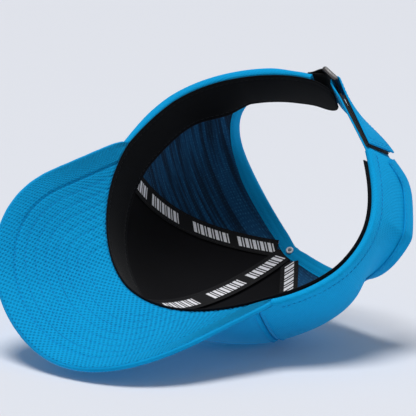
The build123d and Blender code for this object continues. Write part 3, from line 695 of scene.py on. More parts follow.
def panel(name, ts, node):
    """One crown panel with its seam allowances turned in, its topstitching and a rolled hem behind the bill."""
    n_out, n_hem, n_in = 70, 9, 16
    side = 1 if ts[len(ts) // 2] > 0 else -1
    near_apex = [abs(t) < SEAM_ANGLE + 1.5 for t in ts]
    tops = [full(t) - (2.0 if k else 0.4) for t, k in zip(ts, near_apex)]
    lows = [foot(t) for t in ts]
    hem = [smooth((abs(t) - 62.8) / 2.6) for t in ts]
    P, N, W = grid(ts, [l + 2.2 * h + 0.4 for l, h in zip(lows, hem)], tops, n_out)
    outer = P + N * 2.9
    # distances from both seams of the panel, along the surface
    du = np.linalg.norm(outer[1:] - outer[:-1], axis=2)
    U = np.concatenate([np.zeros((1, n_out)), np.cumsum(du, 0)])
    start, end = U, U[-1:] - U
    front = abs(ts[0]) < SEAM_ANGLE
    seam_a = np.abs(start)
    valley = np.exp(-(seam_a / 1.2) ** 2)
    rows = [seam_a]
    if front:
        valley = valley + np.exp(-(end / 1.2) ** 2)
        rows.append(end)
    d = np.full(U.shape, 2.9) + np.array([lift(t) for t in ts])[:, None]
    for r in rows:
        d += 0.30 * sm((4.2 - r) / 1.6) * (1 - valley.clip(0, 1))
        d -= 0.28 * np.exp(-((r - 2.7) / 0.42) ** 2)
    d -= 1.0 * valley.clip(0, 1)
    d += 0.30 * waves(outer, 17.0, 1.3 * side + (0 if front else 2.0)) * sm(W / 14.0)
    d -= 0.22 * np.exp(-((W - 6.5) / 0.5) ** 2) * np.array(hem)[:, None]
    O = P + N * d[..., None]
    loops = []
    for i, t in enumerate(ts):
        h, l = hem[i], lows[i]
        top_o = d[i, -1]
        # top turn from outer to inner
        w_top = tops[i]
        p_top, o_top, way_top = place(t, [w_top])
        turn = [p_top[0] + o_top[0] * ((top_o + 1.5) / 2 + (top_o - 1.5) / 2 * math.cos(a)) + way_top[0] * 0.6 * math.sin(a) for a in (0.7, 1.57, 2.44)]
        wi = np.linspace(w_top, l + 2.2 * h + 1.2, n_in)
        p, o, _ = place(t, wi)
        inner = p + o * 1.5
        # hem: from the inner face down and round under to the outer face
        d_in = 1.5 + (-1.7 - 1.5) * h
        d_out = d[i, 0]
        c, r = (d_in + d_out) / 2, (d_out - d_in) / 2
        lowest = l + 2.2 * h + 0.4
        a = np.linspace(0, math.pi, n_hem + 2)[1:-1]
        drop = 0.5 + (2.3 - 0.5) * h
        wh = lowest - drop * np.sin(a) ** 0.8
        dh = c - r * np.cos(a)
        p, o, _ = place(t, wh)
        under = p + o * dh[:, None]
        loops.append(np.concatenate([O[i], np.array(turn), inner, under]))
    ob = tube(name, loops, [shell_mat], angle=70)
    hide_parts(node)
    # topstitching rows beside the seams
    which = [(start, 1)] + ([(end, -1)] if front else [])
    for dist, sgn in which:
        path, nor = [], []
        for j in range(3, n_out - 3):
            r = dist[:, j]
            order = np.argsort(r)
            if r.max() < 3.4:
                continue
            f = np.interp(2.7, r[order], order.astype(float))
            i0 = int(min(len(ts) - 2, math.floor(f)))
            g = f - i0
            path.append(O[i0, j] * (1 - g) + O[i0 + 1, j] * g)
            nor.append(N[i0, j] * (1 - g) + N[i0 + 1, j] * g)
        stitch_shell.row(path, nor, raise_by=0.12)
    if not front:
        # hem stitching along the lower edge
        path, nor = [], []
        for i, t in enumerate(ts):
            if abs(t) < 66.5:
                continue
            p, o, _ = place(t, [6.5])
            path.append(p[0] + o[0] * (2.9 + lift(t) + 0.15 * 0))
            nor.append(o[0])
        stitch_shell.row(path, nor, raise_by=0.0)
    return ob


front_ts = np.concatenate([[0.06], np.linspace(1, 58.5, 47), [59.42]])
side_ts = np.concatenate([[59.6], np.linspace(60.4, 66, 12), np.linspace(66.9, BAND_END, 92)])
panel("crown_front_left", list(front_ts), "front_panel_left")
panel("crown_front_right", [-t for t in front_ts], "front_panel_right")
panel("crown_side_left", list(side_ts), "side_panel_left")
panel("crown_side_right", [-t for t in side_ts], "side_panel_right")


# ------------------------------------------------------------------ linings
def lining(name, ts, node, mat, top):
    loops = []
    for t in ts:
        hi = full(t) - top(t)
        a, b = ribbon_loop(4.4, hi, 46, 0.62, 1.28)
        p, o, _ = place(t, a)
        b = b + 0.16 * waves(p, 13.0, 0.7 + (t > 0)) * (b < 0.9) * np.sin(np.pi * np.clip((a - 4.4) / (hi - 4.4), 0, 1))
        loops.append(p + o * b[:, None])
    ob = tube(name, loops, [mat], angle=70)
    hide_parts(node)


lining("lining_front_left", list(np.linspace(0.1, 59.4, 40)), "front_lining_left", lining_mat, lambda t: 2.6)
lining("lining_front_right", list(-np.linspace(0.1, 59.4, 40)), "front_lining_right", lining_mat, lambda t: 2.6)
lining("lining_side_left", list(np.linspace(59.6, 127, 56)), "side_lining_left", mesh_mat, lambda t: 3.5)
lining("lining_side_right", list(-np.linspace(59.6, 127, 56)), "side_lining_right", mesh_mat, lambda t: 3.5)


# ------------------------------------------------------------------ binding, one length from band end to band end
def surface_step(t, w, move):
    """Where on the crown a short move (a vector in its surface) from (t, w) ends."""
    for part in range(2):
        p0, _, way = place(t, [w])
        p1, _, _ = place(t + 0.25, [w])
        pt, pw = (p1[0] - p0[0]) / 0.25, way[0]
        m = np.array([[pt.dot(pt), pt.dot(pw)], [pt.dot(pw), 1.0]])
        dt, dw = np.linalg.solve(m, np.array([pt.dot(move), pw.dot(move)]) / 2)
        t, w = t + dt, w + dw
    return t, w


def binding():
    pts, nor, ang = [], [], []
    order = [-t for t in np.linspace(BAND_END, 60.2, 110)] + list(np.linspace(60.2, BAND_END, 110))
    for t in order:
        p, o, w = place(t, [full(t)])
        q, _, _ = place(t + 0.2, [full(t)])
        n = np.cross(q[0] - p[0], w[0])
        n = n / np.linalg.norm(n)
        pts.append(p[0])
        nor.append(n * (1 if n.dot(o[0]) > 0 else -1))
        ang.append(t)
    pts, nor, ang = np.array(pts), np.array(nor), np.array(ang)
    s = np.concatenate([[0], np.cumsum(np.linalg.norm(pts[1:] - pts[:-1], axis=1))])
    count = int(s[-1] / 1.3)
    q = np.linspace(0, s[-1], count)
    pts = np.stack([np.interp(q, s, pts[:, k]) for k in range(3)], 1)
    nor = np.stack([np.interp(q, s, nor[:, k]) for k in range(3)], 1)
    ang = np.interp(q, s, ang)
    pts, nor = blur(pts, 10), blur(nor, 14)
    tan = np.gradient(pts, axis=0)
    tan /= np.linalg.norm(tan, axis=1)[:, None]
    nor -= tan * np.sum(nor * tan, 1)[:, None]
    nor /= np.linalg.norm(nor, axis=1)[:, None]
    past = np.cross(nor, tan)
    if past[count // 2].dot(vec(0, 1, 0)) < 0:
        past = -past
    reach = np.linalg.norm(pts - vec(*APEX), axis=1)
    shift = 2.3 * np.exp(-(reach / 24.0) ** 2)
    width = 7.6
    k = np.linspace(-width, 0, 12)
    base_line, out_line = np.zeros((count, 12, 3)), np.zeros((count, 12, 3))
    for i in range(count):
        use = smooth((reach[i] - 9.0) / 9.0)
        for j, kk in enumerate(k):
            flat_p = pts[i] + past[i] * kk
            flat_o = nor[i]
            if use > 0:
                t0 = ang[i]
                tt, ww = surface_step(t0, full(t0), past[i] * kk)
                p, o, _ = place(tt, [ww])
                flat_p = flat_p * (1 - use) + p[0] * use
                flat_o = flat_o * (1 - use) + o[0] * use
            base_line[i, j], out_line[i, j] = flat_p, flat_o / np.linalg.norm(flat_o)
    for _ in range(3):
        base_line[1:-1] = 0.25 * base_line[:-2] + 0.5 * base_line[1:-1] + 0.25 * base_line[2:]
        out_line[1:-1] = 0.25 * out_line[:-2] + 0.5 * out_line[1:-1] + 0.25 * out_line[2:]
    base_line += (past * shift[:, None])[:, None]
    loops, edge_in, edge_out, nin, nout = [], [], [], [], []
    puff = 0.30 * np.sin(np.pi * (k + width) / width) ** 0.8 - 0.32 * np.exp(-((k + 6.1) / 0.4) ** 2)
    puff = puff - 0.22 * np.exp(-((k + 2.6) / 0.5) ** 2)
    for i in range(count):
        rise = lift(ang[i])
        close = smooth((min(q[i], q[-1] - q[i]) - 0.5) / 16.0)
        lo, hi = 0.10 + 0.25 * (1 - close), 4.15 + rise - 0.75 * (1 - close)
        mid, half = (lo + hi) / 2, (hi - lo) / 2
        wob = 1 + 0.04 * math.sin(q[i] * 1.9)
        B, N = base_line[i], out_line[i]
        th = np.linspace(0, math.pi, 13)[1:-1]
        row = [B[j] + N[j] * (hi + puff[j] * wob) for j in range(12)]
        row += [B[-1] + past[i] * 1.5 * math.sin(a) + N[-1] * (mid + half * math.cos(a)) for a in th]
        row += [B[j] + N[j] * (lo - puff[j] * wob) for j in range(11, -1, -1)]
        row += [B[j] + N[j] * (lo + 0.75) for j in (0, 3, 6, 9)]
        row += [B[-1] + N[-1] * mid]
        row += [B[j] + N[j] * (hi - 0.75) for j in (9, 6, 3, 0)]
        loops.append(row)
        g = 2
        edge_in.append(B[g] + N[g] * (lo + 0.10))
        edge_out.append(B[g] + N[g] * (hi - 0.10))
        nin.append(-N[g])
        nout.append(N[g])
    ob = tube("crown_edge_binding", loops, [smooth_blue], angle=65)
    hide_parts("crown_binding_left", "crown_binding_right")
    stitch_shell.row(edge_in, nin, 2.3, 0.8, 0.22, 0.05)
    stitch_shell.row(edge_out, nout, 2.3, 0.8, 0.22, 0.05)


binding()


# ------------------------------------------------------------------ sweatband
def sweat_span(t):
    if t > 156:
        f = (t - 156) / 11.0
        cut = 12.0 * (1 - math.sqrt(max(0.0, 1 - f * f)))
        return cut, 31.0 - cut
    return 0.0, 33.0 - 2.0 * smooth((t - 144) / 12) if t > -143 else table(-t, [(143, 33.0), (147, 30.5), (151, 25.0)])


def sweatband():
    loops, foot_path, foot_nor, top_path = [], [], [], []
    ts = list(np.linspace(-150.5, 156, 330)) + list(156 + 11.0 * np.sin(np.linspace(0, math.pi / 2, 16))[1:] * 0.985)
    foam_loops = []
    for t in ts:
        lo, hi = sweat_span(t)
        lo -= 0.9 if t < -66 else 0.35
        a, b = ribbon_loop(lo, hi, 30, -2.95, -1.95, 5)
        p, o, w = place(t, np.zeros(1)) if abs(t) > REAR_START else (None, None, None)
        f = (a - lo) / (hi - lo)
        inner = b < -2.6
        crown = np.sin(np.pi * np.clip((f - 0.10) / 0.80, 0, 1)) ** 0.6
        s = math.radians(t) * 90
        pucker = 0.5 + 0.5 * math.sin(s * 0.55 + 1.3 * math.sin(s * 0.11))
        b = b - inner * (0.75 * crown + 0.10 * pucker * np.exp(-((f - 0.12) / 0.06) ** 2))
        b = b + inner * 0.30 * np.exp(-((a - (lo + 3.2)) / 0.5) ** 2) + inner * 0.25 * np.exp(-((hi - 3.0 - a) / 0.5) ** 2)
        if abs(t) > REAR_START:
            base, across, up = sec(t)[:3]
            pts = base + (-b)[:, None] * across + a[:, None] * up
            o_at = lambda w0: (base + up * w0 + across * 2.95, -across)
        else:
            pp, oo, _ = place(t, a)
            pts = pp + oo * b[:, None]
            o_at = lambda w0: (lambda r: (r[0][0] + r[1][0] * -2.95, -r[1][0]))(place(t, [w0]))
        loops.append(pts)
        if abs(t) < 155:
            c, nrm = o_at(lo + 3.2)
            if abs(t) > REAR_START:
                nrm = across
            foot_path.append(c)
            foot_nor.append(nrm)
            c, _ = o_at(hi - 3.0)
            top_path.append(c)
    ob = tube("sweatband_pad", loops, [sweat_mat], angle=70)
    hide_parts("sweatband")
    stitch_dark.row(foot_path, foot_nor, 2.6, 0.8, 0.22, -0.05)
    stitch_dark.row(top_path, foot_nor, 2.6, 0.8, 0.22, -0.05)


sweatband()


# ------------------------------------------------------------------ seam tapes
def tape(name, t, node, reach, extra):
    L = full(t)
    ws = np.linspace(28.5, L - reach, 70)
    loops = []
    edge_a, edge_b, nors = [], [], []
    base, across, up = sec(t)[:3]
    pl, _, _ = place(t - 2.5, ws * full(t - 2.5) / L)
    pr, _, _ = place(t + 2.5, ws * full(t + 2.5) / L)
    p, o, way = place(t, ws)
    flat = pr - pl
    flat -= way * np.sum(flat * way, 1)[:, None]
    flat /= np.linalg.norm(flat, axis=1)[:, None]
    good = min(len(ws) - 1, int(np.searchsorted(ws, L - 14)))
    flat[good:] = flat[good]
    out = np.cross(flat, way)
    out /= np.linalg.norm(out, axis=1)[:, None]
    out *= np.sign(np.sum(out * o, 1))[:, None]
    for i in range(len(ws)):
        rise = -extra * sm((ws[i] - (L - 22)) / 12.0)
        # face that shows runs first, 12 mm wide
        s = np.linspace(-6.0, 6.0, 25)
        ridge = 0.10 * np.exp(-((np.abs(s) - 5.5) / 0.35) ** 2) - 0.14 * np.exp(-((np.abs(s) - 4.6) / 0.25) ** 2)
        sag = s * s / 150.0
        lower = [(x, -0.78 - g - r) for x, g, r in zip(s, -sag * 0 + 0, ridge)] if False else [(x, -0.80 - r + 0.0 * g) for x, g, r in zip(s, sag, ridge)]
        upper = [(x, -0.22) for x in s[::-6]]
        prof = np.array(lower + upper)
        bend = -(prof[:, 0] ** 2) / 150.0
        pt = p[i] + flat[i] * prof[:, :1] + out[i] * (prof[:, 1:] + rise + bend[:, None] + 0.12)
        loops.append(pt)
        edge_a.append(p[i] + flat[i] * 5.0 + out[i] * (-0.80 + rise - 25.0 / 150 + 0.12))
        edge_b.append(p[i] - flat[i] * 5.0 + out[i] * (-0.80 + rise - 25.0 / 150 + 0.12))
        nors.append(-out[i])
    ob = tube(name, loops, [tape_mat], angle=50)
    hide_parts(node)
    stitch_dark.row(edge_a, nors, 2.2, 0.8, 0.16, -0.04)
    stitch_dark.row(edge_b, nors, 2.2, 0.8, 0.16, -0.04)


tape("seam_tape_middle", 0.0, "seam_tape_center", 5.0, 0.30)
tape("seam_tape_of_left", SEAM_ANGLE, "seam_tape_left", 9.0, 0.0)
tape("seam_tape_of_right", -SEAM_ANGLE, "seam_tape_right", 9.0, 0.0)

# ------------------------------------------------------------------ bill
def bill_outline():
    """Outer edge of the bill from the right corner round the tip to the left corner."""
    depth = BILL_WIDEST - BILL_TIP
    left = [(79.9, -41.2), (80.6, -43.5), (80.9, -52.0), (81.0, -66.0)]
    a = np.linspace(0.02, math.pi - 0.02, 260)
    x = BILL_HALF * np.sign(np.cos(a)) * np.abs(np.cos(a)) ** (2 / BILL_POWER)
    y = BILL_WIDEST - depth * np.abs(np.sin(a)) ** (2 / BILL_POWER)
    pts = left + list(zip(x, y)) + [(-px, py) for px, py in left[::-1]]
    pts = resample(np.array(pts), step=1.0)
    pts = blur(pts, 12)
    return pts[::-1]


def lift_up(xy, h):
    """Points of the bill h above its underside, over plan points xy."""
    x, y = xy[..., 0], xy[..., 1]
    z = BILL_Z0 + BILL_SLOPE * (y + FRONT_DEPTH) - BILL_DROP * (x / BILL_HALF) ** 2
    gx = -2 * BILL_DROP * x / BILL_HALF**2
    gy = np.full_like(x, BILL_SLOPE)
    l = np.sqrt(1 + gx * gx + gy * gy)
    n = np.stack([-gx / l, -gy / l, 1 / l], -1)
    return np.stack([x, y, z], -1) + n * np.asarray(h)[..., None], n


OUT = resample(bill_outline(), count=300)
OUT3, _ = lift_up(OUT, np.zeros(len(OUT)))


def inner_line(inset, reach=65.0, count=300):
    ts = np.linspace(-reach, reach, 600)
    pts = []
    for t in ts:
        (x, y), (nx, ny) = edge_xy(t), inward(t)
        pts.append((x + nx * inset, y + ny * inset))
    pts = np.array(pts)
    return resample(pts, count=count)


def from_edge(p):
    """Distance of the points p from the bill's outer edge."""
    q = p.reshape(-1, 3)
    best = np.full(len(q), 1e9)
    for k in range(0, len(OUT3), 60):
        seg = OUT3[k:k + 61]
        best = np.minimum(best, np.linalg.norm(q[:, None] - seg[None], axis=2).min(1))
    return best.reshape(p.shape[:-1])


ROWS = (12.0, 18.5, 25.0, 31.5, 38.0, 44.5, 51.0, 57.5)
stitch_bill = Stitches()
thick = 3.8


def cover(name, node, inset, below, mat):
    """A bill cover: its outer face from the crown to the rim, round the rim's edge and back as its inner face."""
    IN = inner_line(inset)
    n = 90
    f = 1 - (1 - np.linspace(0, 1, n)) ** 1.25
    xy = IN[:, None] + (OUT - IN)[:, None] * f[None, :, None]
    flat, nor = lift_up(xy, np.zeros(xy.shape[:2]))
    D = from_edge(flat)
    D[:, -1] = 0
    sign = -1 if below else 1
    groove = np.zeros_like(D)
    for k, r in enumerate(ROWS):
        groove -= (0.75 if k == 0 else 0.38) * np.exp(-((D - r) / (0.9 if k == 0 else 0.75)) ** 2)
    crown_gap = np.linalg.norm(flat - flat[:, :1], axis=2)
    groove += 0.55 * np.sin(np.pi * np.clip(D / 12.0, 0, 1)) ** 0.8
    groove -= 0.5 * np.exp(-((crown_gap - 0.2) / 0.9) ** 2)
    groove += 0.16 * waves(flat, 9.0, 3.1) * sm(D / 6) * sm(crown_gap / 5)
    # the face turns towards the rim at its edge
    turn = 0.9 * (1 - np.sqrt(np.clip(1 - (1 - np.clip(D / 1.3, 0, 1)) ** 2, 0, 1)))
    if below:
        h = 0.0 - groove + turn
        h2 = np.maximum(0.9, h + 0.35)
    else:
        h = thick - 0.1 + groove - turn
        h2 = np.minimum(thick - 1.0, h - 0.35)
    face, _ = lift_up(xy, h)
    back, _ = lift_up(xy, h2)
    loops = np.concatenate([face, back[:, ::-3]], 1)
    ob = tube(name, loops, [mat], angle=60)
    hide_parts(node)
    # thread in the rows
    for k, r in enumerate(ROWS):
        path, nn = [], []
        for i in range(4, len(OUT) - 4):
            d = D[i]
            if d.max() < r + 1.0:
                continue
            j = int(np.argmax(d < r))
            if j == 0:
                continue
            g = (d[j - 1] - r) / max(1e-6, d[j - 1] - d[j])
            path.append(face[i, j - 1] * (1 - g) + face[i, j] * g)
            nn.append(nor[i, j] * sign)
        if len(path) > 6:
            path, nn = np.array(path), np.array(nn)
            cut = np.where(np.linalg.norm(path[1:] - path[:-1], axis=1) > 6.0)[0]
            parts = np.split(np.arange(len(path)), cut + 1)
            for part in parts:
                if len(part) > 3:
                    stitch_bill.row(path[part], nn[part], 2.5, 0.8, 0.20, 0.02)
    return face


under_face = cover("bill_underside", "bill_under_cover", 1.9, True, bill_mat)
top_face = cover("bill_topside", "bill_top_cover", -0.6, False, bill_mat)


def rim():
    """The rolled rim between the two covers, with its edge threads."""
    plan = OUT
    tan = np.gradient(plan, axis=0)
    tan /= np.linalg.norm(tan, axis=1)[:, None]
    side = np.stack([tan[:, 1], -tan[:, 0]], 1)
    if side[len(side) // 2, 1] > 0:
        side = -side
    th = np.linspace(-math.pi / 2, math.pi / 2, 11)
    loops = []
    for i in range(len(plan)):
        s = i * 0.31
        bulge = 0.75 + 0.03 * math.sin(s * 2.1)
        prof = [(bulge * math.cos(a), 1.85 + 1.35 * math.sin(a)) for a in th] + [(-1.6, 3.0), (-2.0, 1.85), (-1.6, 0.7)]
        row = []
        for d, h in prof:
            q, _ = lift_up((plan[i] + side[i] * d)[None], np.array([h]))
            row.append(q[0])
        loops.append(row)
    ob = tube("bill_rim_roll", loops, [smooth_blue], angle=70)
    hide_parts("bill_rim_seam")
    for h, d in ((0.42, -0.15), (3.3, -0.15)):
        q, n = lift_up(plan + side * d, np.full(len(plan), h))
        nn = n * (-1 if h < 1 else 1)
        stitch_bill.row(q, nn, 1.9, 0.5, 0.2, 0.0)


rim()

# thread where the bill joins the sweatband
seam = inner_line(1.2, 63.5)
q, n = lift_up(seam, np.zeros(len(seam)))
stitch_bill.row(q - n * -0.25, -n, 2.4, 0.7, 0.2, 0.05)

stitch_shell.make("topstitching", thread_blue)
stitch_dark.make("stitching_inside", thread_black)
stitch_bill.make("stitching_bill", thread_blue)


# ------------------------------------------------------------------ button and washer
def lathe(name, profile, centre, mats, body="root", n=48, wobble=0.0, flip=False, pick=None):
    loops = []
    for r, z in profile:
        a = np.arange(n) * 2 * math.pi / n
        rr = r * (1 + wobble * np.cos(a * 6) * (r > 3) + wobble * 0.5 * np.cos(a * 13 + 1) * (r > 3))
        loops.append(np.stack([centre[0] + rr * np.cos(a), centre[1] + rr * np.sin(a), np.full(n, centre[2] + z)], 1))
    ob = tube(name, loops, mats, body=body, angle=50, pick=pick)
    return ob


dome = [(0.9, -0.9), (1.1, -0.8), (1.1, 4.2), (5.2, 4.2), (5.9, 4.5), (6.25, 5.1), (6.2, 5.7), (5.7, 6.4), (4.8, 6.95), (3.6, 7.3), (2.2, 7.48), (1.0, 7.53), (0.3, 7.55)]
button = lathe("top_button_covered", dome, APEX, [shell_mat], wobble=0.008)
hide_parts("top_button")
ring = [(1.2, -0.3), (1.25, -0.62), (1.6, -0.86), (2.05, -0.88), (2.4, -0.7), (2.5, -0.35), (2.45, -0.06), (1.2, -0.06)]
washer = lathe("apex_washer", [(r, z - 0.5) for r, z in ring], APEX, [washer_mat])
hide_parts("button_washer")
rivet = lathe("apex_rivet", [(0.25, -1.32), (0.8, -1.25), (1.1, -1.0), (1.12, -0.4), (0.6, -0.3)], APEX, [rivet_mat])


# ------------------------------------------------------------------ buckle
def slot_outline(r, half, n=14):
    a = np.linspace(-math.pi / 2, math.pi / 2, n)
    right = np.stack([half + r * np.cos(a), r * np.sin(a)], 1)
    return np.concatenate([right, -right])


MID = vec((TAB_BAR[0] + STRAP_BAR[0]) / 2, (TAB_BAR[1] + STRAP_BAR[1]) / 2, 0)
BX = unit(vec(TAB_BAR[0] - STRAP_BAR[0], TAB_BAR[1] - STRAP_BAR[1], 0))
BY = vec(-BX[1], BX[0], 0)
HALF = math.hypot(TAB_BAR[0] - STRAP_BAR[0], TAB_BAR[1] - STRAP_BAR[1]) / 2


def stack(name, rows, mats, body="buckle", pick=None):
    """Slot-shaped outlines stacked in height: (radius, z) rows."""
    loops = []
    for r, z in rows:
        o = slot_outline(r, HALF)
        loops.append(MID + BX * o[:, :1] + BY * o[:, 1:] + vec(0, 0, 1) * z)
    return tube(name, loops, mats, body=body, angle=40, pick=pick)


R = BUCKLE_T / 2
lowc = stack("buckle_cheek_low", [(R - 0.75, BUCKLE_LOW + 0.12), (R - 0.7, BUCKLE_LOW), (R - 0.32, BUCKLE_LOW), (R - 0.1, BUCKLE_LOW + 0.1), (R, BUCKLE_LOW + 0.32), (R, BUCKLE_LOW + 1.7), (R - 0.12, BUCKLE_LOW + 1.92), (R - 0.35, BUCKLE_LOW + 2.0)], [buckle_mat])
highc = stack("buckle_cheek_high", [(R - 0.35, BUCKLE_HIGH - 2.0), (R - 0.12, BUCKLE_HIGH - 1.92), (R, BUCKLE_HIGH - 1.7), (R, BUCKLE_HIGH - 0.32), (R - 0.1, BUCKLE_HIGH - 0.1), (R - 0.32, BUCKLE_HIGH), (R - 0.7, BUCKLE_HIGH), (R - 0.75, BUCKLE_HIGH - 0.12)], [buckle_mat])
# the two buckle faces carry the painted sheen colour, not a separate grey finish
face_low = stack("buckle_face_low", [(R - 0.8, BUCKLE_LOW + 0.3), (R - 0.78, BUCKLE_LOW + 0.02), (R - 0.95, BUCKLE_LOW - 0.06)], [buckle_face_sheen_mat])
face_high = stack("buckle_face_high", [(R - 0.8, BUCKLE_HIGH - 0.3), (R - 0.78, BUCKLE_HIGH - 0.02), (R - 0.95, BUCKLE_HIGH + 0.06)], [buckle_face_sheen_mat])
bars = []
for k, (bx, by) in enumerate((TAB_BAR, STRAP_BAR)):
    thin = BAR_R - 0.15
    prof = [(thin * 0.9, BUCKLE_LOW + 1.6), (thin + 0.12, BUCKLE_LOW + 2.0), (thin, BUCKLE_LOW + 2.6), (thin, BUCKLE_HIGH - 2.6), (thin + 0.12, BUCKLE_HIGH - 2.0), (thin * 0.9, BUCKLE_HIGH - 1.6)]
    bars.append(lathe("buckle_bar_%d" % (k + 1), prof, (bx, by, 0), [buckle_mat], body="buckle", n=28))
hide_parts("buckle")

# ------------------------------------------------------------------ webbing tab round the buckle bar
TAB_DIR, TAB_NORM = vec(0.872, -0.489, 0), vec(0.489, 0.872, 0)
TAB_LOW = (BUCKLE_LOW + BUCKLE_HIGH) / 2 - TAB_W / 2


def webbing_tab():
    # centre line of one layer: from the band, round the bar and back
    line = [(12.6, -4.75), (11.0, -4.5), (8.0, -3.7), (5.0, -2.9), (2.4, -2.4), (1.2, -2.25)]
    a = np.linspace(-80, -280, 17)
    line += [(2.18 * math.cos(math.radians(v)), 2.18 * math.sin(math.radians(v))) for v in a]
    line += [(2.0, 1.95), (4.5, 1.0), (6.4, -0.8), (8.2, -2.4), (9.8, -3.3), (11.2, -3.7)]
    c = blur(resample(np.array(line), step=0.7), 3)
    tan = np.gradient(c, axis=0)
    tan /= np.linalg.norm(tan, axis=1)[:, None]
    nn = np.stack([-tan[:, 1], tan[:, 0]], 1)
    loops = []
    for i in range(len(c)):
        h, b = ribbon_loop(TAB_LOW, TAB_LOW + TAB_W, 24, -0.46, 0.46, 3)
        rib = 0.07 * np.sin(h * 2 * math.pi / 1.5)
        b = b + np.sign(b) * rib * (np.abs(b) > 0.4)
        xy = c[i][None] + nn[i][None] * b[:, None]
        loops.append(vec(TAB_BAR[0], TAB_BAR[1], 0) + TAB_DIR * xy[:, :1] + TAB_NORM * xy[:, 1:] + vec(0, 0, 1) * h[:, None])
    ob = tube("buckle_webbing", loops, [web_mat], angle=60)
    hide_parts("buckle_tab")


webbing_tab()

# ------------------------------------------------------------------ strap, tongue, hook and loop
SB = vec(STRAP_BAR[0], STRAP_BAR[1], 0)
SD = vec(STRAP_END[0] - STRAP_BAR[0], STRAP_END[1] - STRAP_BAR[1], 0)
STRAP_L = float(np.linalg.norm(SD))
UD = SD / STRAP_L
OD = vec(UD[1], -UD[0], 0)
if OD[1] < 0:
    OD = -OD
STRAP_LOW = (BUCKLE_LOW + BUCKLE_HIGH) / 2 - STRAP_W / 2
TONGUE_END = STRAP_L - 3.0


def strap_map(s, d, w):
    """Point at s along the strap, d outward and w up its leaning section."""
    l = math.radians(STRAP_LEAN0 + (STRAP_LEAN1 - STRAP_LEAN0) * smooth((s + 4) / (STRAP_L + 8)))
    c, n = math.cos(l), math.sin(l)
    d, w = np.asarray(d, float), np.asarray(w, float)
    return SB + UD * s + OD * (d * c + w * n)[:, None] + vec(0, 0, 1) * (STRAP_LOW + w * c - d * n)[:, None]


def strap_layer(name, stations, offset, bottom, top, t_half, mats, body, ribs=0.0, node=None):
    loops = []
    for s in stations:
        w, b = ribbon_loop(bottom(s), top(s), 30, -t_half, t_half, 4)
        mid = offset(s)
        edge = np.exp(-((w - bottom(s) - 1.9) / 0.35) ** 2) + np.exp(-((top(s) - 1.9 - w) / 0.35) ** 2)
        b = b - np.sign(b) * 0.18 * edge * (np.abs(b) > t_half * 0.9)
        b = b + ribs * np.sin(s * 0.9) * np.sin(w * 0.7)
        loops.append(strap_map(s, mid + b, w))
    ob = tube(name, loops, mats, body=body, angle=60)
    if node:
        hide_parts(node)
    return ob


run_mid = lambda s: -table(s, [(0, 3.2), (4, 3.15), (13, 2.4), (STRAP_L - 2, 2.4), (STRAP_L + 3.2, 3.1), (STRAP_L + 7, 4.1)])
run_top = lambda s: table(s, [(STRAP_L + 1, STRAP_W), (STRAP_L + 3.2, 17.0), (STRAP_L + 7, 16.5)])
strap_layer("strap_inner_run", np.concatenate([np.linspace(0.0, STRAP_L + 1, 60), np.linspace(STRAP_L + 1.8, STRAP_L + 7, 8)]), run_mid,
            lambda s: 0.6, run_top, 0.58, [strap_blue], "root", 0.02, "closure_strap")
strap_layer("loop_fastener", np.linspace(10.5, TONGUE_END - 1.2, 42), lambda s: -1.08, lambda s: 1.0, lambda s: STRAP_W - 1.0, 0.66, [loop_mat], "root", 0.03, "loop_patch")
hooks = strap_layer("hook_fastener", np.linspace(13.0, TONGUE_END - 1.5, 40), lambda s: 0.68, lambda s: 1.0, lambda s: STRAP_W - 1.0, 0.74, [hook_mat], "tongue", 0.03, "hook_patch")


def tongue():
    """Free end of the strap with its fold round the buckle bar."""
    loops = []
    r = FOLD_R + STRAP_T / 2
    half = 0.58
    path_edge, edge_n = [], []
    # the fold, from the inner run round the bar
    for a in np.linspace(-90, -268, 26):
        q = math.radians(a)
        w, b = ribbon_loop(0.0, STRAP_W, 30, -half, half, 4)
        # angle measured from the strap's own direction towards the outside
        along, outw = math.cos(q), math.sin(q)
        rr = r + (b if True else 0)
        pts = SB + UD * (rr * along)[:, None] + OD * (rr * outw)[:, None] + vec(0, 0, 1) * (STRAP_LOW + w)[:, None]
        loops.append(pts)
    mid = lambda s: table(s, [(0, r), (12, 2.1), (STRAP_L, 2.1)])
    for s in np.linspace(0.8, TONGUE_END, 56):
        w, b = ribbon_loop(0.0, STRAP_W, 30, -half, half, 4)
        edge = np.exp(-((w - 1.9) / 0.35) ** 2) + np.exp(-((STRAP_W - 1.9 - w) / 0.35) ** 2)
        if TONGUE_END - s < 6.5:
            edge = edge + math.exp(-((TONGUE_END - s - 2.0) / 0.4) ** 2) + 0.8 * math.exp(-((TONGUE_END - s - 4.8) / 0.4) ** 2)
        k = mid(s)
        soft = 0.5 * math.sin(math.pi * s / TONGUE_END) * np.sin(np.pi * w / STRAP_W)
        b2 = b - np.sign(b) * 0.16 * np.clip(edge, 0, 1) * (np.abs(b) > half * 0.9) + 0.0 * soft
        loops.append(strap_map(s, k + b2, w))
    ob = tube("strap_tongue_free", loops, [strap_blue], body=None, angle=60)
    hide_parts("strap_tongue")
    return ob, mid


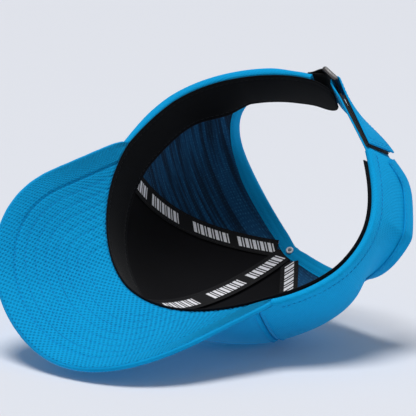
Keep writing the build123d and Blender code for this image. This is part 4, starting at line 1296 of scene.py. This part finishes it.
tongue_ob, tongue_mid = tongue()
stitch_tongue = Stitches()
for w0 in (1.9, STRAP_W - 1.9):
    path, nn = [], []
    for s in np.linspace(3, TONGUE_END - 2, 50):
        p = strap_map(s, [tongue_mid(s) + 0.58], [w0])[0]
        p2 = strap_map(s, [tongue_mid(s) + 1.58], [w0])[0]
        path.append(p)
        nn.append(p2 - p)
    stitch_tongue.row(path, nn, 2.3, 0.8, 0.2, -0.05)
for s0 in (TONGUE_END - 2.0, TONGUE_END - 4.8):
    ws = np.linspace(1.9, STRAP_W - 1.9, 20)
    path = [strap_map(s0, [tongue_mid(s0) + 0.58], [w])[0] for w in ws]
    nn = [strap_map(s0, [tongue_mid(s0) + 1.58], [w])[0] - q for w, q in zip(ws, path)]
    stitch_tongue.row(path, nn, 2.3, 0.8, 0.2, -0.05)
tongue_stitches = stitch_tongue.make("stitching_tongue", thread_blue, body="tongue")

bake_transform(tongue_ob)

# ------------------------------------------------------------------ kept solids inside
for node, mat in (("sweatband_foam", foam_mat), ("bill_board", board_mat)):
    ob = frame["nodes"][node]
    for s in ob.material_slots:
        s.material = mat

# ------------------------------------------------------------------ floor and light
pitch = math.radians(11.0)
UPW = (CAM_UP * math.cos(pitch) - VIEW * math.sin(pitch)).normalized()
low = 1e9
for ob in bpy.data.objects:
    if ob.type == "MESH" and ob.name.startswith(("crown_", "bill_")):
        co = np.empty(len(ob.data.vertices) * 3)
        ob.data.vertices.foreach_get("co", co)
        low = min(low, float((co.reshape(-1, 3) @ np.array(UPW)).min()))
FX = RIGHT.copy()
FY = UPW.cross(FX).normalized()
FX = FY.cross(UPW).normalized()
centre = UPW * (low - 0.0003)
me = bpy.data.meshes.new("floor")
size = 6.0
me.from_pydata([tuple(centre + FX * a * size + FY * b * size) for a, b in ((-1, -1), (1, -1), (1, 1), (-1, 1))], [], [(0, 1, 2, 3)])
floor = bpy.data.objects.new("floor", me)
SCENE.objects.link(floor)
fm = bpy.data.materials.new("floor_paper")
fm.use_nodes = True
ft = fm.node_tree
fb = ft.nodes["Principled BSDF"]
fb.inputs["Base Color"].default_value = (0.715, 0.735, 0.79, 1)
fb.inputs["Roughness"].default_value = 0.9
fb.inputs["Specular IOR Level"].default_value = 0.1
geo = ft.nodes.new("ShaderNodeNewGeometry")
clear = ft.nodes.new("ShaderNodeBsdfTransparent")
pickf = ft.nodes.new("ShaderNodeMixShader")
ft.links.new(geo.outputs["Backfacing"], pickf.inputs[0])
ft.links.new(fb.outputs[0], pickf.inputs[1])
ft.links.new(clear.outputs[0], pickf.inputs[2])
ft.links.new(pickf.outputs[0], ft.nodes["Material Output"].inputs["Surface"])
me.materials.append(fm)
if me.polygons[0].normal.dot(UPW) < 0:
    me.flip_normals()
floor.visible_shadow = False
floor.visible_glossy = False

world = bpy.data.worlds.new("world")
bpy.context.scene.world = world
world.use_nodes = True
bg = world.node_tree.nodes["Background"]
bg.inputs["Color"].default_value = (0.93, 0.94, 0.96, 1)
bg.inputs["Strength"].default_value = 0.27


def area(name, at, aim, watts, size, color=(1, 1, 1)):
    data = bpy.data.lights.new(name, "AREA")
    data.shape = "DISK"
    data.size = size
    data.energy = watts
    data.color = color
    ob = bpy.data.objects.new(name, data)
    SCENE.objects.link(ob)
    ob.location = at
    ob.rotation_euler = (Vector(aim) - Vector(at)).to_track_quat("-Z", "Y").to_euler()
    ob.visible_camera = False
    return ob


target = Vector((0, -0.03, 0.03))
sun = bpy.data.lights.new("key", "SUN")
sun.energy = 2.55
sun.angle = math.radians(26)
sun_ob = bpy.data.objects.new("key", sun)
SCENE.objects.link(sun_ob)
sun_ob.rotation_euler = (-(UPW * 1.0 - VIEW * 0.09 - RIGHT * 0.10)).to_track_quat("-Z", "Y").to_euler()
area("fill_camera", target - VIEW * 1.3 + RIGHT * 0.9 + UPW * 0.25, target, 1.6, 0.9)
area("crown_side", Vector((0.35, -0.9, 1.0)), target, 6.5, 0.9)
area("rear_side", Vector((-0.5, 1.0, 0.8)), target, 3.0, 0.8)
